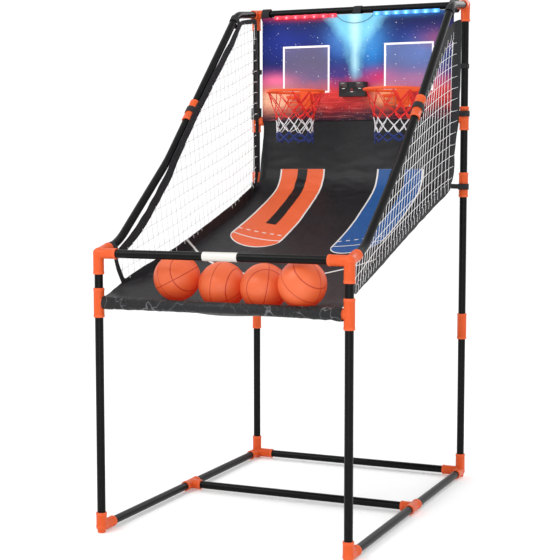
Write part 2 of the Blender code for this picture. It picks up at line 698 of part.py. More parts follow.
# ---------------------------------------------------------------- scoreboard
def build_scoreboard():
    """Case open underneath, circuit, battery door and start button."""
    width, depth, height = CASE_SIZE
    cx, cy, cz = CASE_CENTRE
    low = Vector((cx - width / 2, cy - depth / 2, cz - height / 2))
    high = Vector((cx + width / 2, BOARD_Y[0] - 0.0003, cz + height / 2))
    bm = bmesh.new()
    add_box(bm, low, high)
    for sign in (-1, 1):
        middle = cx + sign * BROW_X
        add_box(bm, (middle - BROW_HALF_W, low.y - BROW_PROUD, high.z - BROW_TALL),
                (middle + BROW_HALF_W, low.y + 2 * CASE_WALL, high.z - FIT_GAP))
    case = mesh_object("scoreboard_case", bm)
    hollow = bmesh.new()
    inner_low = low + Vector((CASE_WALL, CASE_WALL, -0.01))
    inner_high = high - Vector((CASE_WALL, CASE_WALL, CASE_WALL))
    add_box(hollow, inner_low, inner_high)
    button_z = cz - BUTTON_DROP
    add_rod(hollow, (cx, low.y - 0.02, button_z), (cx, low.y + 0.01, button_z), BUTTON_HOLE_R, 16)
    tool = mesh_object("scoreboard_hollow", hollow, CUTTERS)
    combine(case, tool)
    paint(case, "case")

    board = bmesh.new()
    plane = inner_high.y - CIRCUIT_BACK
    forward = plane - PART_FRONT
    add_box(board, (cx - CIRCUIT_HALF_W, plane - CIRCUIT_THICK, cz + CIRCUIT_Z[0]),
            (cx + CIRCUIT_HALF_W, plane, cz + CIRCUIT_Z[1]))
    for sign in (-1, 1):
        middle = cx + sign * BROW_X
        add_box(board, (middle - DIGIT_HALF_W, forward, cz + DIGIT_Z[0]),
                (middle + DIGIT_HALF_W, plane - 0.001, cz + DIGIT_Z[1]))
    add_box(board, (cx - 0.003, forward, button_z - 0.003), (cx + 0.003, plane - 0.001, button_z + 0.003))
    add_box(board, (cx + CHIP_X[0], plane - 0.001, cz + CHIP_Z[0]),
            (cx + CHIP_X[1], plane + CHIP_THICK, cz + CHIP_Z[1]))
    circuit = mesh_object("circuit_board", board)
    empty = bmesh.new()
    add_rod(empty, (cx - 0.042, plane - 0.01, cz + 0.016), (cx - 0.042, plane + 0.01, cz + 0.016),
            0.0010, 8)
    hole = mesh_object("circuit_hole", empty, CUTTERS)
    combine(circuit, hole)
    paint(circuit, "circuit")

    door = bmesh.new()
    door_front = inner_low.y + DOOR_GAP
    add_box(door, (inner_low.x + DOOR_GAP, door_front, low.z),
            (inner_high.x - DOOR_GAP, inner_high.y - DOOR_GAP, low.z + DOOR_THICK))
    add_box(door, (cx + CATCH_X[0], door_front, low.z),
            (cx + CATCH_X[1], door_front + 0.0026, low.z + 0.006))
    lid = mesh_object("battery_door", door)
    finger = bmesh.new()
    add_box(finger, (cx - GROOVE_HALF[0], cy - GROOVE_HALF[1], low.z - 0.001),
            (cx + GROOVE_HALF[0], cy + GROOVE_HALF[1], low.z + DOOR_THICK / 2))
    groove = mesh_object("door_groove", finger, CUTTERS)
    combine(lid, groove)
    paint(lid, "case")

    button = bmesh.new()
    add_rod(button, (0, -0.0020, 0), (0, 0.0040, 0), BUTTON_R, 16)
    add_rod(button, (0, 0.0030, 0), (0, 0.0045, 0), FLANGE_R, 16)
    add_rod(button, (0, 0.0040, 0), (0, forward - low.y - 0.0018, 0), STEM_R, 8)
    cap = mesh_object("start_button", button)
    cap.location = (cx, low.y, button_z)
    dish = bmesh.new()
    bmesh.ops.create_uvsphere(dish, u_segments=12, v_segments=8, radius=0.008,
                              matrix=Matrix.Translation((cx, low.y - 0.0092, button_z)))
    tool = mesh_object("button_dish", dish, CUTTERS)
    combine(cap, tool)
    paint(cap, "button")


# --------------------------------------------------------------------- balls
def ramp_grid():
    """Dense samples of the ramp's upper side near the trough."""
    samples = []
    for i in range(-35, 36):
        rows = [Vector((i * 0.01 * wide, y, z)) for wide, y, z in ramp_section(i * 0.01)]
        for first, second in zip(rows, rows[1:]):
            if first.y > -0.25:
                break
            samples += [first.lerp(second, k / 4) for k in range(4)]
    return samples


def rest_height(x, y, samples):
    """Lowest centre height that keeps a ball clear of the ramp."""
    best = 0.0
    clear = BALL_R + RAMP_THICK / 2 + BALL_REST_GAP
    for sx, sy, sz in samples:
        flat = clear ** 2 - (sx - x) ** 2 - (sy - y) ** 2
        if flat > 0:
            best = max(best, sz + math.sqrt(flat))
    return best


def shell_arc(radius, steps=9):
    """Half circle from the bottom of a ball up to the edge of its valve hole."""
    last = math.pi - math.asin(VALVE_R / radius)
    points = [(0.0, -radius)]
    for i in range(1, steps + 1):
        angle = last * i / steps
        points.append((radius * math.sin(angle), -radius * math.cos(angle)))
    return points


def build_balls():
    """Hollow balls, open only at the valve, at rest in the trough."""
    samples = ramp_grid()
    profile = shell_arc(BALL_R) + list(reversed(shell_arc(BALL_R - BALL_WALL)))
    for number, (x, y) in enumerate(BALL_SPOTS, start=1):
        ball = lathe("ball_%d" % number, profile, 16, "ball")
        ball.location = (x, y, rest_height(x, y, samples))


def main():
    """Build every piece."""
    clear_scene()
    for side in (-1, 1):
        build_base(side)
        build_posts(side)
        build_arm(side)
        build_side_net(side)
        build_hoop(side)
        build_flap(side)
        build_hoop_net(side)
        build_led_strip(side)
    build_crossbars()
    build_ramp()
    build_backboard()
    build_scoreboard()
    build_balls()


main()
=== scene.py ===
"""Looks of a two-lane basketball shooting game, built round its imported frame.

Everything is in metres: +Z up, -Y towards the player, the origin on the floor under
the middle of the frame.
"""
import math
import random

import bmesh
import bpy
from bpy.props import FloatProperty, FloatVectorProperty, IntProperty, PointerProperty
from mathutils import Euler, Matrix, Vector, noise


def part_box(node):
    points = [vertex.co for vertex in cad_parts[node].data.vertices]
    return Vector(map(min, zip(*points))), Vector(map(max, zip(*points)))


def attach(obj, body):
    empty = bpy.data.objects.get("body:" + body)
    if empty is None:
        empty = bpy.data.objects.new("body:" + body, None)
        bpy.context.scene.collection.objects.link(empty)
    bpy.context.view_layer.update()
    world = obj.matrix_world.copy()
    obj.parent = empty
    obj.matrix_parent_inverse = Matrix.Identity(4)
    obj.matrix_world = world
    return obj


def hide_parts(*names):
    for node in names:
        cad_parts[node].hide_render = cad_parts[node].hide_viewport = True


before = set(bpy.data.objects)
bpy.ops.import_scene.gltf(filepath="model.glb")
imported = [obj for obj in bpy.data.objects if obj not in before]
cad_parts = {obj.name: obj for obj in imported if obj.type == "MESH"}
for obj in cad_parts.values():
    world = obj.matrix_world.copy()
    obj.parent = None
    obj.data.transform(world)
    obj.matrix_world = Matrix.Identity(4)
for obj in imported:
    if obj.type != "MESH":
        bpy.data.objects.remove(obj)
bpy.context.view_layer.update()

bl_info = {
    "name": "Basketball Hoop Machine",
    "version": (1, 0, 0),
    "blender": (4, 5, 0),
    "location": "View3D > Sidebar > Hoop Machine",
    "description": "Builds the finish of a two-lane basketball shooting game",
    "category": "Object",
}

SIDES = (("left", -1), ("right", 1))


def middle(node):
    """Middle of a frame node's box."""
    low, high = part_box(node)
    return (low + high) / 2


def srgb(red, green, blue):
    """Linear colour from 0 to 255 screen values."""
    return tuple(((c / 255 + 0.055) / 1.055) ** 2.4 if c > 10 else c / 255 / 12.92
                 for c in (red, green, blue))


# Places read from the frame.
X_POST = middle("front_leg_right").x
Y_FRONT = middle("front_leg_right").y
Y_REAR = middle("rear_leg_right").y
Y_MID = middle("base_mid_crossbar").y
Z_BASE = middle("base_mid_crossbar").z
Z_TROUGH = middle("trough_bar").z
Z_RAIL = middle("handrail").z
Z_BOARD_BAR = middle("board_bar").z
Z_TOP = middle("top_bar").z
Z_COUPLER_A = middle("coupler_a_left").z
Z_COUPLER_B = middle("coupler_b_left").z
TUBE_R = (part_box("handrail")[1].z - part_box("handrail")[0].z) / 2
BALL_R = (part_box("ball_1")[1].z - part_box("ball_1")[0].z) / 2
BOARD_LOW, BOARD_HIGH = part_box("backboard")

# Bends of the side arms, in the plane of the posts: (y, z) and bend radius.
ARM_KNEE = (-0.4244, 0.8095)
ARM_ELBOW = (-0.1230, 1.0430)
ARM_SHOULDER = (0.3706, 1.5283)
ARM_RADII = (0.20, 0.50, 0.09)
ARM_SPLIT = 0.314

HOOP_X = 0.172
HOOP_Y = 0.402
HOOP_Z = 1.273
HOOP_R = 0.0955
HOOP_WIRE_R = 0.0045
RING_STEPS = 96
PIN_Y = 0.4955              # the scoring flap's hinge pin
PIN_DROP = 0.0135           # below the ring

STRIP_X = 0.178             # middle of a light strip
STRIP_Z = (1.5225, 1.5345)  # its lower and upper edge
LAMP_COUNT = 7
LAMP_STEP = 0.0335
LAMP_Z = 1.5265


# ------------------------------------------------------------------ settings
class HoopFrameSettings(bpy.types.PropertyGroup):
    """Tubes and push-fit fittings."""
    tube_colour: FloatVectorProperty(
        name="Tube Colour", description="Powder coat of the tubes", subtype="COLOR",
        default=srgb(9, 9, 10), min=0.0, max=1.0)
    fitting_colour: FloatVectorProperty(
        name="Fitting Colour", description="Moulded plastic of the fittings", subtype="COLOR",
        default=(0.62, 0.080, 0.011), min=0.0, max=1.0)
    socket_radius: FloatProperty(
        name="Socket Radius", description="Outside radius of a socket", default=0.0149,
        min=0.0135, max=0.0165, unit="LENGTH")
    lip_height: FloatProperty(
        name="Lip Height", description="How far a socket's lip stands proud", default=0.0006,
        min=0.0, max=0.002, unit="LENGTH")
    strap_width: FloatProperty(
        name="Strap Width", description="Width of the hook-and-loop straps", default=0.022,
        min=0.01, max=0.04, unit="LENGTH")
    label_colour: FloatVectorProperty(
        name="Label Colour", description="Plain label on the handrail", subtype="COLOR",
        default=srgb(205, 203, 196), min=0.0, max=1.0)


class HoopClothSettings(bpy.types.PropertyGroup):
    """Ramp, side nets and hoop nets."""
    cloth_colour: FloatVectorProperty(
        name="Cloth Colour", description="Woven polyester of the ramp and tapes",
        subtype="COLOR", default=srgb(24, 25, 28), min=0.0, max=1.0)
    warm_lane: FloatVectorProperty(
        name="Left Lane", description="Print of the left lane", subtype="COLOR",
        default=srgb(244, 108, 62), min=0.0, max=1.0)
    cool_lane: FloatVectorProperty(
        name="Right Lane", description="Print of the right lane", subtype="COLOR",
        default=srgb(36, 88, 152), min=0.0, max=1.0)
    net_column: FloatProperty(
        name="Net Column Spacing", description="Distance between the upright net cords",
        default=0.0275, min=0.01, max=0.08, unit="LENGTH")
    net_row: FloatProperty(
        name="Net Row Spacing", description="Distance between the sloping net cords",
        default=0.036, min=0.01, max=0.08, unit="LENGTH")
    cord_radius: FloatProperty(
        name="Net Cord Radius", description="Radius of the side net's cord", default=0.00078,
        min=0.0003, max=0.003, unit="LENGTH")
    wrinkle: FloatProperty(
        name="Wrinkle Height", description="Height of the ramp's wrinkles", default=0.0032,
        min=0.0, max=0.01, unit="LENGTH")


class HoopBallSettings(bpy.types.PropertyGroup):
    """Balls."""
    colour: FloatVectorProperty(
        name="Ball Colour", description="Rubber of the balls", subtype="COLOR",
        default=(0.50, 0.120, 0.036), min=0.0, max=1.0)
    seam_width: FloatProperty(
        name="Seam Width", description="Width of a seam's groove", default=0.0022,
        min=0.0005, max=0.006, unit="LENGTH")
    seam_depth: FloatProperty(
        name="Seam Depth", description="Depth of a seam's groove", default=0.0006,
        min=0.0, max=0.002, unit="LENGTH")


class HoopGoalSettings(bpy.types.PropertyGroup):
    """Backboard, hoops, lights and scoreboard."""
    hoop_colour: FloatVectorProperty(
        name="Hoop Colour", description="Moulded plastic of the hoops", subtype="COLOR",
        default=(0.66, 0.070, 0.010), min=0.0, max=1.0)
    net_cells: IntProperty(
        name="Net Cells", description="Net loops hung from each hoop", default=10, min=6, max=24)
    net_cord_share: FloatProperty(
        name="Hoop Net Cord", description="Thickness of the hoop net's cords, 1 as built",
        default=1.0, min=0.5, max=1.5)
    strip_glow: FloatProperty(
        name="Strip Glow", description="Glow of the strips between their lamps", default=2.0,
        min=0.0, max=10.0)
    lamp_strength: FloatProperty(
        name="Lamp Strength", description="Glow of the light strips", default=2.0,
        min=0.0, max=50.0)


# ------------------------------------------------------------ material maths
class Term:
    """A number in a node tree, with arithmetic."""

    def __init__(self, tree, socket):
        self.tree = tree
        self.socket = socket

    def do(self, operation, *others, clamp=False):
        """Run one Math node on this term and up to two others."""
        node = self.tree.nodes.new("ShaderNodeMath")
        node.operation = operation
        node.use_clamp = clamp
        for place, value in zip(node.inputs, (self, *others)):
            plug(self.tree, value, place)
        return Term(self.tree, node.outputs[0])

    def __add__(self, other):
        return self.do("ADD", other)

    def __sub__(self, other):
        return self.do("SUBTRACT", other)

    def __mul__(self, other):
        return self.do("MULTIPLY", other)

    def __truediv__(self, other):
        return self.do("DIVIDE", other)

    def __neg__(self):
        return self.do("MULTIPLY", -1.0)

    def __abs__(self):
        return self.do("ABSOLUTE")

    def least(self, other):
        """The smaller of two terms."""
        return self.do("MINIMUM", other)

    def most(self, other):
        """The larger of two terms."""
        return self.do("MAXIMUM", other)

    def root(self):
        """Square root of the positive part."""
        return self.most(0.0).do("SQRT")

    def below(self, edge, soft):
        """1 where this term is under an edge, 0 above it."""
        return ((self - edge) / -soft + 0.5).do("ADD", 0.0, clamp=True)

    def above(self, edge, soft):
        """1 where this term is over an edge, 0 under it."""
        return ((self - edge) / soft + 0.5).do("ADD", 0.0, clamp=True)

    def bump_shape(self, centre, width):
        """A smooth hill, 1 at a centre and falling off over a width."""
        far = (self - centre) / width
        return (far * far * -1.0).do("EXPONENT")


def plug(tree, value, place):
    """Put a term, socket, number or colour into an input."""
    if isinstance(value, Term):
        tree.links.new(value.socket, place)
    elif isinstance(value, bpy.types.NodeSocket):
        tree.links.new(value, place)
    elif isinstance(value, tuple) and len(value) == 3 and place.type == "RGBA":
        place.default_value = (*value, 1.0)
    else:
        place.default_value = value


def tint(tree, share, first, second, kind="MIX"):
    """Mix two colours by a share."""
    node = tree.nodes.new("ShaderNodeMix")
    node.data_type = "RGBA"
    node.blend_type = kind
    plug(tree, share, node.inputs[0])
    plug(tree, first, node.inputs[6])
    plug(tree, second, node.inputs[7])
    return node.outputs[2]


def grain(tree, vector, scale, detail=4.0, rough=0.5, squeeze=None):
    """Noise value over a vector, squeezed along its axes where asked."""
    if squeeze is not None:
        stretch = tree.nodes.new("ShaderNodeMapping")
        stretch.inputs["Scale"].default_value = squeeze
        tree.links.new(vector, stretch.inputs["Vector"])
        vector = stretch.outputs["Vector"]
    node = tree.nodes.new("ShaderNodeTexNoise")
    node.inputs["Scale"].default_value = scale
    node.inputs["Detail"].default_value = detail
    node.inputs["Roughness"].default_value = rough
    tree.links.new(vector, node.inputs["Vector"])
    return Term(tree, node.outputs["Fac"])


def object_axes(tree):
    """Object coordinates: the vector and its three terms."""
    node = tree.nodes.new("ShaderNodeTexCoord")
    split = tree.nodes.new("ShaderNodeSeparateXYZ")
    tree.links.new(node.outputs["Object"], split.inputs[0])
    return node.outputs["Object"], *(Term(tree, out) for out in split.outputs)


def printed_side(tree):
    """Mask of faces that look forwards or up, where a print is."""
    node = tree.nodes.new("ShaderNodeTexCoord")
    split = tree.nodes.new("ShaderNodeSeparateXYZ")
    tree.links.new(node.outputs["Normal"], split.inputs[0])
    _, y, z = (Term(tree, out) for out in split.outputs)
    return (z - y).above(-0.2, 0.3)


def material(name, roughness=0.5):
    """A new material, its node tree and its shader."""
    made = bpy.data.materials.new(name)
    made.use_nodes = True
    shader = made.node_tree.nodes["Principled BSDF"]
    shader.inputs["Roughness"].default_value = roughness
    return made, made.node_tree, shader


def bump(tree, shader, height, distance, strength=1.0):
    """Drive a shader's normal by a height in metres times a distance."""
    node = tree.nodes.new("ShaderNodeBump")
    node.inputs["Strength"].default_value = strength
    node.inputs["Distance"].default_value = distance
    plug(tree, height, node.inputs["Height"])
    tree.links.new(node.outputs["Normal"], shader.inputs["Normal"])


def powder_coat(name, colour):
    """Satin powder coat with a faint orange peel and dust."""
    made, tree, shader = material(name)
    vector, *_ = object_axes(tree)
    mottle = grain(tree, vector, 9.0, 5.0)
    peel = grain(tree, vector, 900.0, 2.0)
    dust = grain(tree, vector, 60.0, 6.0, 0.7).above(0.62, 0.2)
    dark = tuple(c * 0.72 for c in colour)
    plain = tint(tree, mottle, dark, colour)
    plug(tree, tint(tree, dust * 0.05, plain, (0.10, 0.10, 0.10)), shader.inputs["Base Color"])
    plug(tree, mottle * 0.10 + 0.27, shader.inputs["Roughness"])
    shader.inputs["Specular IOR Level"].default_value = 0.12
    bump(tree, shader, peel, 0.00012, 0.5)
    return made


def moulded(name, colour, roughness=0.38):
    """Injection-moulded plastic: soft mottle, fine spark texture and lighter sharp edges."""
    made, tree, shader = material(name)
    vector, *_ = object_axes(tree)
    mottle = grain(tree, vector, 14.0, 4.0)
    spark = grain(tree, vector, 1400.0, 2.0)
    flow = grain(tree, vector, 40.0, 3.0, 0.5, (1.0, 1.0, 0.2))
    light = tuple(min(1.0, c * 1.10 + 0.012) for c in colour)
    dark = tuple(c * 0.90 for c in colour)
    shade = tint(tree, mottle * 0.6 + flow * 0.4, dark, light)
    geometry = tree.nodes.new("ShaderNodeNewGeometry")
    # sharp edges, found by pointiness, are mixed halfway towards a lighter tone
    edge = Term(tree, geometry.outputs["Pointiness"]).above(0.53, 0.06)
    sharp_edge_tone = tuple(min(1.0, c * 1.15 + 0.03) for c in colour)
    plug(tree, tint(tree, edge * 0.5, shade, sharp_edge_tone), shader.inputs["Base Color"])
    plug(tree, spark * 0.10 + (roughness - 0.05), shader.inputs["Roughness"])
    shader.inputs["Specular IOR Level"].default_value = 0.20
    shader.inputs["Subsurface Weight"].default_value = 0.04
    shader.inputs["Subsurface Radius"].default_value = (0.004, 0.002, 0.001)
    bump(tree, shader, spark, 0.00008, 0.5)
    return made


def weave(across, along, pitch):
    """Height of a plain weave over two terms in metres."""
    turn = 2 * math.pi / pitch
    first = (across * turn).do("SINE")
    second = (along * turn).do("SINE")
    return first * second


def webbing(name, colour, pitch=0.0011):
    """Woven tape or hook-and-loop strap."""
    made, tree, shader = material(name, 0.78)
    vector, across, along, up = object_axes(tree)
    fuzz = grain(tree, vector, 500.0, 4.0, 0.7)
    ribs = weave(along + up, up - along + across, pitch)
    light = tuple(min(1.0, c * 1.8 + 0.004) for c in colour)
    plug(tree, tint(tree, fuzz * 0.6 + ribs * 0.2 + 0.1, colour, light),
         shader.inputs["Base Color"])
    shader.inputs["Specular IOR Level"].default_value = 0.25
    shader.inputs["Sheen Weight"].default_value = 0.06
    shader.inputs["Sheen Roughness"].default_value = 0.4
    bump(tree, shader, ribs * 0.5 + fuzz, 0.00025, 0.7)
    return made


def cord_finish(name, colour, roughness=0.7):
    """Twisted cord: slanting strands and a little fuzz."""
    made, tree, shader = material(name, roughness)
    vector, across, along, up = object_axes(tree)
    strands = ((up + along * 0.6 + across * 0.6) * 4200.0).do("SINE")
    fuzz = grain(tree, vector, 700.0, 3.0)
    dark = tuple(c * 0.78 for c in colour)
    plug(tree, tint(tree, strands * 0.25 + fuzz * 0.5 + 0.25, dark, colour),
         shader.inputs["Base Color"])
    shader.inputs["Sheen Weight"].default_value = 0.2
    bump(tree, shader, strands + fuzz, 0.00012, 0.5)
    return made


def glowing(name, colour, strength, strip_x):
    """Lens lit from inside, brighter at its middle."""
    made, tree, shader = material(name, 0.2)
    _, x, _, z = object_axes(tree)
    across = (((x - strip_x) / LAMP_STEP + 0.5).do("FRACT") - 0.5) * LAMP_STEP
    up = z - LAMP_Z
    core = (across * across + up * up).root().below(0.0038, 0.0016)
    pale = tuple(min(1.0, c * 0.85 + 0.12) for c in colour)
    shade = tint(tree, core, colour, pale)
    plug(tree, shade, shader.inputs["Base Color"])
    plug(tree, shade, shader.inputs["Emission Color"])
    shader.inputs["Emission Strength"].default_value = strength
    return made


# ------------------------------------------------------------- mesh helpers
def new_object(name, mesh):
    """Link a mesh as an object at the origin."""
    item = bpy.data.objects.new(name, mesh)
    bpy.context.scene.collection.objects.link(item)
    return item


def mesh_from(name, bm, recalc=True):
    """Turn a bmesh into a linked object."""
    if recalc:
        bmesh.ops.recalc_face_normals(bm, faces=bm.faces)
    mesh = bpy.data.meshes.new(name)
    bm.to_mesh(mesh)
    bm.free()
    return new_object(name, mesh)


def settle(item, finish, body, slot, *nodes, angle=35.0):
    """Apply modifiers, shade, paint and hang a piece on its body."""
    flatten(item)
    item.data.shade_smooth()
    item.data.set_sharp_from_angle(angle=math.radians(angle))
    if finish is not None:
        item.data.materials.clear()
        item.data.materials.append(finish)
    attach(item, body)
    if nodes:
        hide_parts(*nodes)
    return item


def flatten(item):
    """Replace a piece's mesh by its evaluated mesh, and drop the modifiers."""
    if not item.modifiers:
        return
    graph = bpy.context.evaluated_depsgraph_get()
    graph.update()
    mesh = bpy.data.meshes.new_from_object(item.evaluated_get(graph), depsgraph=graph)
    old = item.data
    item.modifiers.clear()
    item.data = mesh
    mesh.name = item.name
    bpy.data.meshes.remove(old)


def drop(item):
    """Remove a helper object and its mesh."""
    mesh = item.data
    bpy.data.objects.remove(item)
    bpy.data.meshes.remove(mesh)


def sweep(name, paths, radius, resolution=6, closed=False):
    """Round bars along polylines, as one mesh with welded caps."""
    curve = bpy.data.curves.new(name, "CURVE")
    curve.dimensions = "3D"
    curve.bevel_depth = radius
    curve.bevel_resolution = resolution
    curve.use_fill_caps = not closed
    for path in paths:
        spline = curve.splines.new("POLY")
        spline.points.add(len(path) - 1)
        spline.use_cyclic_u = closed
        for point, place in zip(spline.points, path):
            point.co = (*place, 1.0)
    drawn = bpy.data.objects.new(name, curve)
    mesh = bpy.data.meshes.new_from_object(drawn)
    bpy.data.objects.remove(drawn)
    bpy.data.curves.remove(curve)
    bm = bmesh.new()
    bm.from_mesh(mesh)
    bpy.data.meshes.remove(mesh)
    bmesh.ops.remove_doubles(bm, verts=bm.verts, dist=1e-6)
    return bm


def turned(bm, profile, start, axis, sides=32):
    """Revolve (radius, distance) points about an axis from a start point."""
    axis = Vector(axis).normalized()
    side = axis.orthogonal().normalized()
    other = axis.cross(side)
    start = Vector(start)
    rings = []
    for radius, along in profile:
        if radius < 1e-9:
            rings.append([bm.verts.new(start + axis * along)])
            continue
        ring = []
        for i in range(sides):
            turn = 2 * math.pi * i / sides
            spoke = side * math.cos(turn) + other * math.sin(turn)
            ring.append(bm.verts.new(start + axis * along + spoke * radius))
        rings.append(ring)
    for first, second in zip(rings, rings[1:]):
        for i in range(sides):
            j = (i + 1) % sides
            if len(first) == 1:
                bm.faces.new((first[0], second[i], second[j]))
            elif len(second) == 1:
                bm.faces.new((first[i], second[0], first[j]))
            else:
                bm.faces.new((first[i], second[i], second[j], first[j]))
    return rings


def skin(bm, rows, closed=False):
    """Faces between neighbouring rows of corners; closed joins each row's ends."""
    for first, second in zip(rows, rows[1:]):
        count = len(first)
        for i in range(count if closed else count - 1):
            j = (i + 1) % count
            bm.faces.new((first[i], first[j], second[j], second[i]))


def thicken(item, thickness, offset=0.0, rounding=0.0):
    """Give a sheet its thickness, and rounded edges where asked."""
    thick = item.modifiers.new("thick", "SOLIDIFY")
    thick.thickness = thickness
    thick.offset = offset
    if rounding:
        edges = item.modifiers.new("edges", "BEVEL")
        edges.width = rounding
        edges.segments = 2


def rounded_box(bm, low, high, radius, segments=2):
    """Closed box with rounded edges."""
    low, high = Vector(low), Vector(high)
    place = Matrix.Translation((low + high) / 2) @ Matrix.Diagonal((*(high - low), 1.0))
    made = bmesh.ops.create_cube(bm, size=1.0, matrix=place)
    edges = {edge for vert in made["verts"] for edge in vert.link_edges}
    bmesh.ops.bevel(bm, geom=list(edges), offset=radius, segments=segments, profile=0.5,
                    affect="EDGES", clamp_overlap=True)


def fillet(points, radii, step=math.radians(4)):
    """Round the inner corners of a polyline."""
    path = [Vector(points[0])]
    for before, corner, after, radius in zip(points, points[1:], points[2:], radii):
        corner = Vector(corner)
        into = (corner - Vector(before)).normalized()
        out = (Vector(after) - corner).normalized()
        angle = into.angle(out)
        reach = radius * math.tan(angle / 2)
        axis = into.cross(out).normalized()
        centre = corner - into * reach + axis.cross(into) * radius
        spoke = corner - into * reach - centre
        count = max(2, math.ceil(angle / step))
        for i in range(count + 1):
            path.append(centre + Matrix.Rotation(angle * i / count, 3, axis) @ spoke)
    path.append(Vector(points[-1]))
    return path


def smooth_path(points, per=6):
    """Catmull-Rom points through a list of equal-length tuples."""
    ends = [tuple(2 * a - b for a, b in zip(points[0], points[1])), *points,
            tuple(2 * a - b for a, b in zip(points[-1], points[-2]))]
    made = []
    for p0, p1, p2, p3 in zip(ends, ends[1:], ends[2:], ends[3:]):
        for k in range(per):
            t = k / per
            made.append(tuple(
                0.5 * (2 * b + (c - a) * t + (2 * a - 5 * b + 4 * c - d) * t * t
                       + (3 * b - a - 3 * c + d) * t ** 3)
                for a, b, c, d in zip(p0, p1, p2, p3)))
    made.append(tuple(points[-1]))
    return made


# ------------------------------------------------------------- node geometry
def node_group(name, inputs):
    """A geometry tree with named inputs; returns the tree, its input and output."""
    tree = bpy.data.node_groups.new(name, "GeometryNodeTree")
    tree.interface.new_socket("Geometry", in_out="INPUT", socket_type="NodeSocketGeometry")
    for label, kind, value in inputs:
        made = tree.interface.new_socket(label, in_out="INPUT", socket_type=kind)
        if value is not None:
            made.default_value = value
    tree.interface.new_socket("Geometry", in_out="OUTPUT", socket_type="NodeSocketGeometry")
    return tree, tree.nodes.new("NodeGroupInput"), tree.nodes.new("NodeGroupOutput")


def cord_group():
    """Cords along a mesh's edges, with a knot on each of its corners."""
    found = bpy.data.node_groups.get("Knotted Cords")
    if found:
        return found
    tree, start, end = node_group("Knotted Cords", (
        ("Cord Radius", "NodeSocketFloat", 0.001),
        ("Knot Radius", "NodeSocketFloat", 0.002),
        ("Cord Sides", "NodeSocketInt", 5),
        ("Material", "NodeSocketMaterial", None),
    ))
    curve = tree.nodes.new("GeometryNodeMeshToCurve")
    ring = tree.nodes.new("GeometryNodeCurvePrimitiveCircle")
    tube = tree.nodes.new("GeometryNodeCurveToMesh")
    tube.inputs["Fill Caps"].default_value = True
    knot = tree.nodes.new("GeometryNodeMeshIcoSphere")
    knot.inputs["Subdivisions"].default_value = 2
    place = tree.nodes.new("GeometryNodeInstanceOnPoints")
    both = tree.nodes.new("GeometryNodeJoinGeometry")
    real = tree.nodes.new("GeometryNodeRealizeInstances")
    smooth = tree.nodes.new("GeometryNodeSetShadeSmooth")
    paint = tree.nodes.new("GeometryNodeSetMaterial")
    link = tree.links.new
    link(start.outputs["Geometry"], curve.inputs[0])
    link(start.outputs["Cord Sides"], ring.inputs["Resolution"])
    link(start.outputs["Cord Radius"], ring.inputs["Radius"])
    link(curve.outputs[0], tube.inputs["Curve"])
    link(ring.outputs[0], tube.inputs["Profile Curve"])
    link(start.outputs["Geometry"], place.inputs["Points"])
    link(start.outputs["Knot Radius"], knot.inputs["Radius"])
    link(knot.outputs[0], place.inputs["Instance"])
    link(tube.outputs[0], both.inputs[0])
    link(place.outputs[0], both.inputs[0])
    link(both.outputs[0], real.inputs[0])
    link(real.outputs[0], smooth.inputs[0])
    link(smooth.outputs[0], paint.inputs[0])
    link(start.outputs["Material"], paint.inputs["Material"])
    link(paint.outputs[0], end.inputs[0])
    return tree


def copies_group():
    """A copy of one object on each corner of a mesh."""
    found = bpy.data.node_groups.get("Copies On Corners")
    if found:
        return found
    tree, start, end = node_group("Copies On Corners", (
        ("Copied", "NodeSocketObject", None),
        ("Size", "NodeSocketFloat", 1.0),
        ("Material", "NodeSocketMaterial", None),
    ))
    info = tree.nodes.new("GeometryNodeObjectInfo")
    place = tree.nodes.new("GeometryNodeInstanceOnPoints")
    real = tree.nodes.new("GeometryNodeRealizeInstances")
    paint = tree.nodes.new("GeometryNodeSetMaterial")
    link = tree.links.new
    link(start.outputs["Geometry"], place.inputs["Points"])
    link(start.outputs["Copied"], info.inputs["Object"])
    link(info.outputs["Geometry"], place.inputs["Instance"])
    link(start.outputs["Size"], place.inputs["Scale"])
    link(place.outputs[0], real.inputs[0])
    link(real.outputs[0], paint.inputs[0])
    link(start.outputs["Material"], paint.inputs["Material"])
    link(paint.outputs[0], end.inputs[0])
    return tree


def with_group(item, group, **values):
    """Put a geometry tree on a piece, with its inputs set by their labels."""
    modifier = item.modifiers.new(group.name, "NODES")
    modifier.node_group = group
    for made in group.interface.items_tree:
        label = made.name.replace(" ", "_").lower()
        if made.in_out == "INPUT" and label in values:
            modifier[made.identifier] = values[label]
    return item


def wire_mesh(name, chains):
    """Edges only: each chain of points joined end to end, shared points merged."""
    bm = bmesh.new()
    for chain in chains:
        verts = [bm.verts.new(point) for point in chain]
        for first, second in zip(verts, verts[1:]):
            bm.edges.new((first, second))
    bmesh.ops.remove_doubles(bm, verts=bm.verts, dist=1e-5)
    mesh = bpy.data.meshes.new(name)
    bm.to_mesh(mesh)
    bm.free()
    return new_object(name, mesh)


# ------------------------------------------------------------ tubes, fittings
def arm_corners(side):
    """Corner points of a side arm, from the front corner to the top corner."""
    plane = ((Y_FRONT, Z_RAIL), ARM_KNEE, ARM_ELBOW, ARM_SHOULDER, (Y_REAR, Z_TOP))
    return [Vector((side * X_POST, y, z)) for y, z in plane]


def arm_coupler_place(side):
    """Middle of the arm's coupler and the direction of the tube there."""
    points = arm_corners(side)
    run = points[3] - points[2]
    return points[2] + run * ARM_SPLIT, run.normalized()


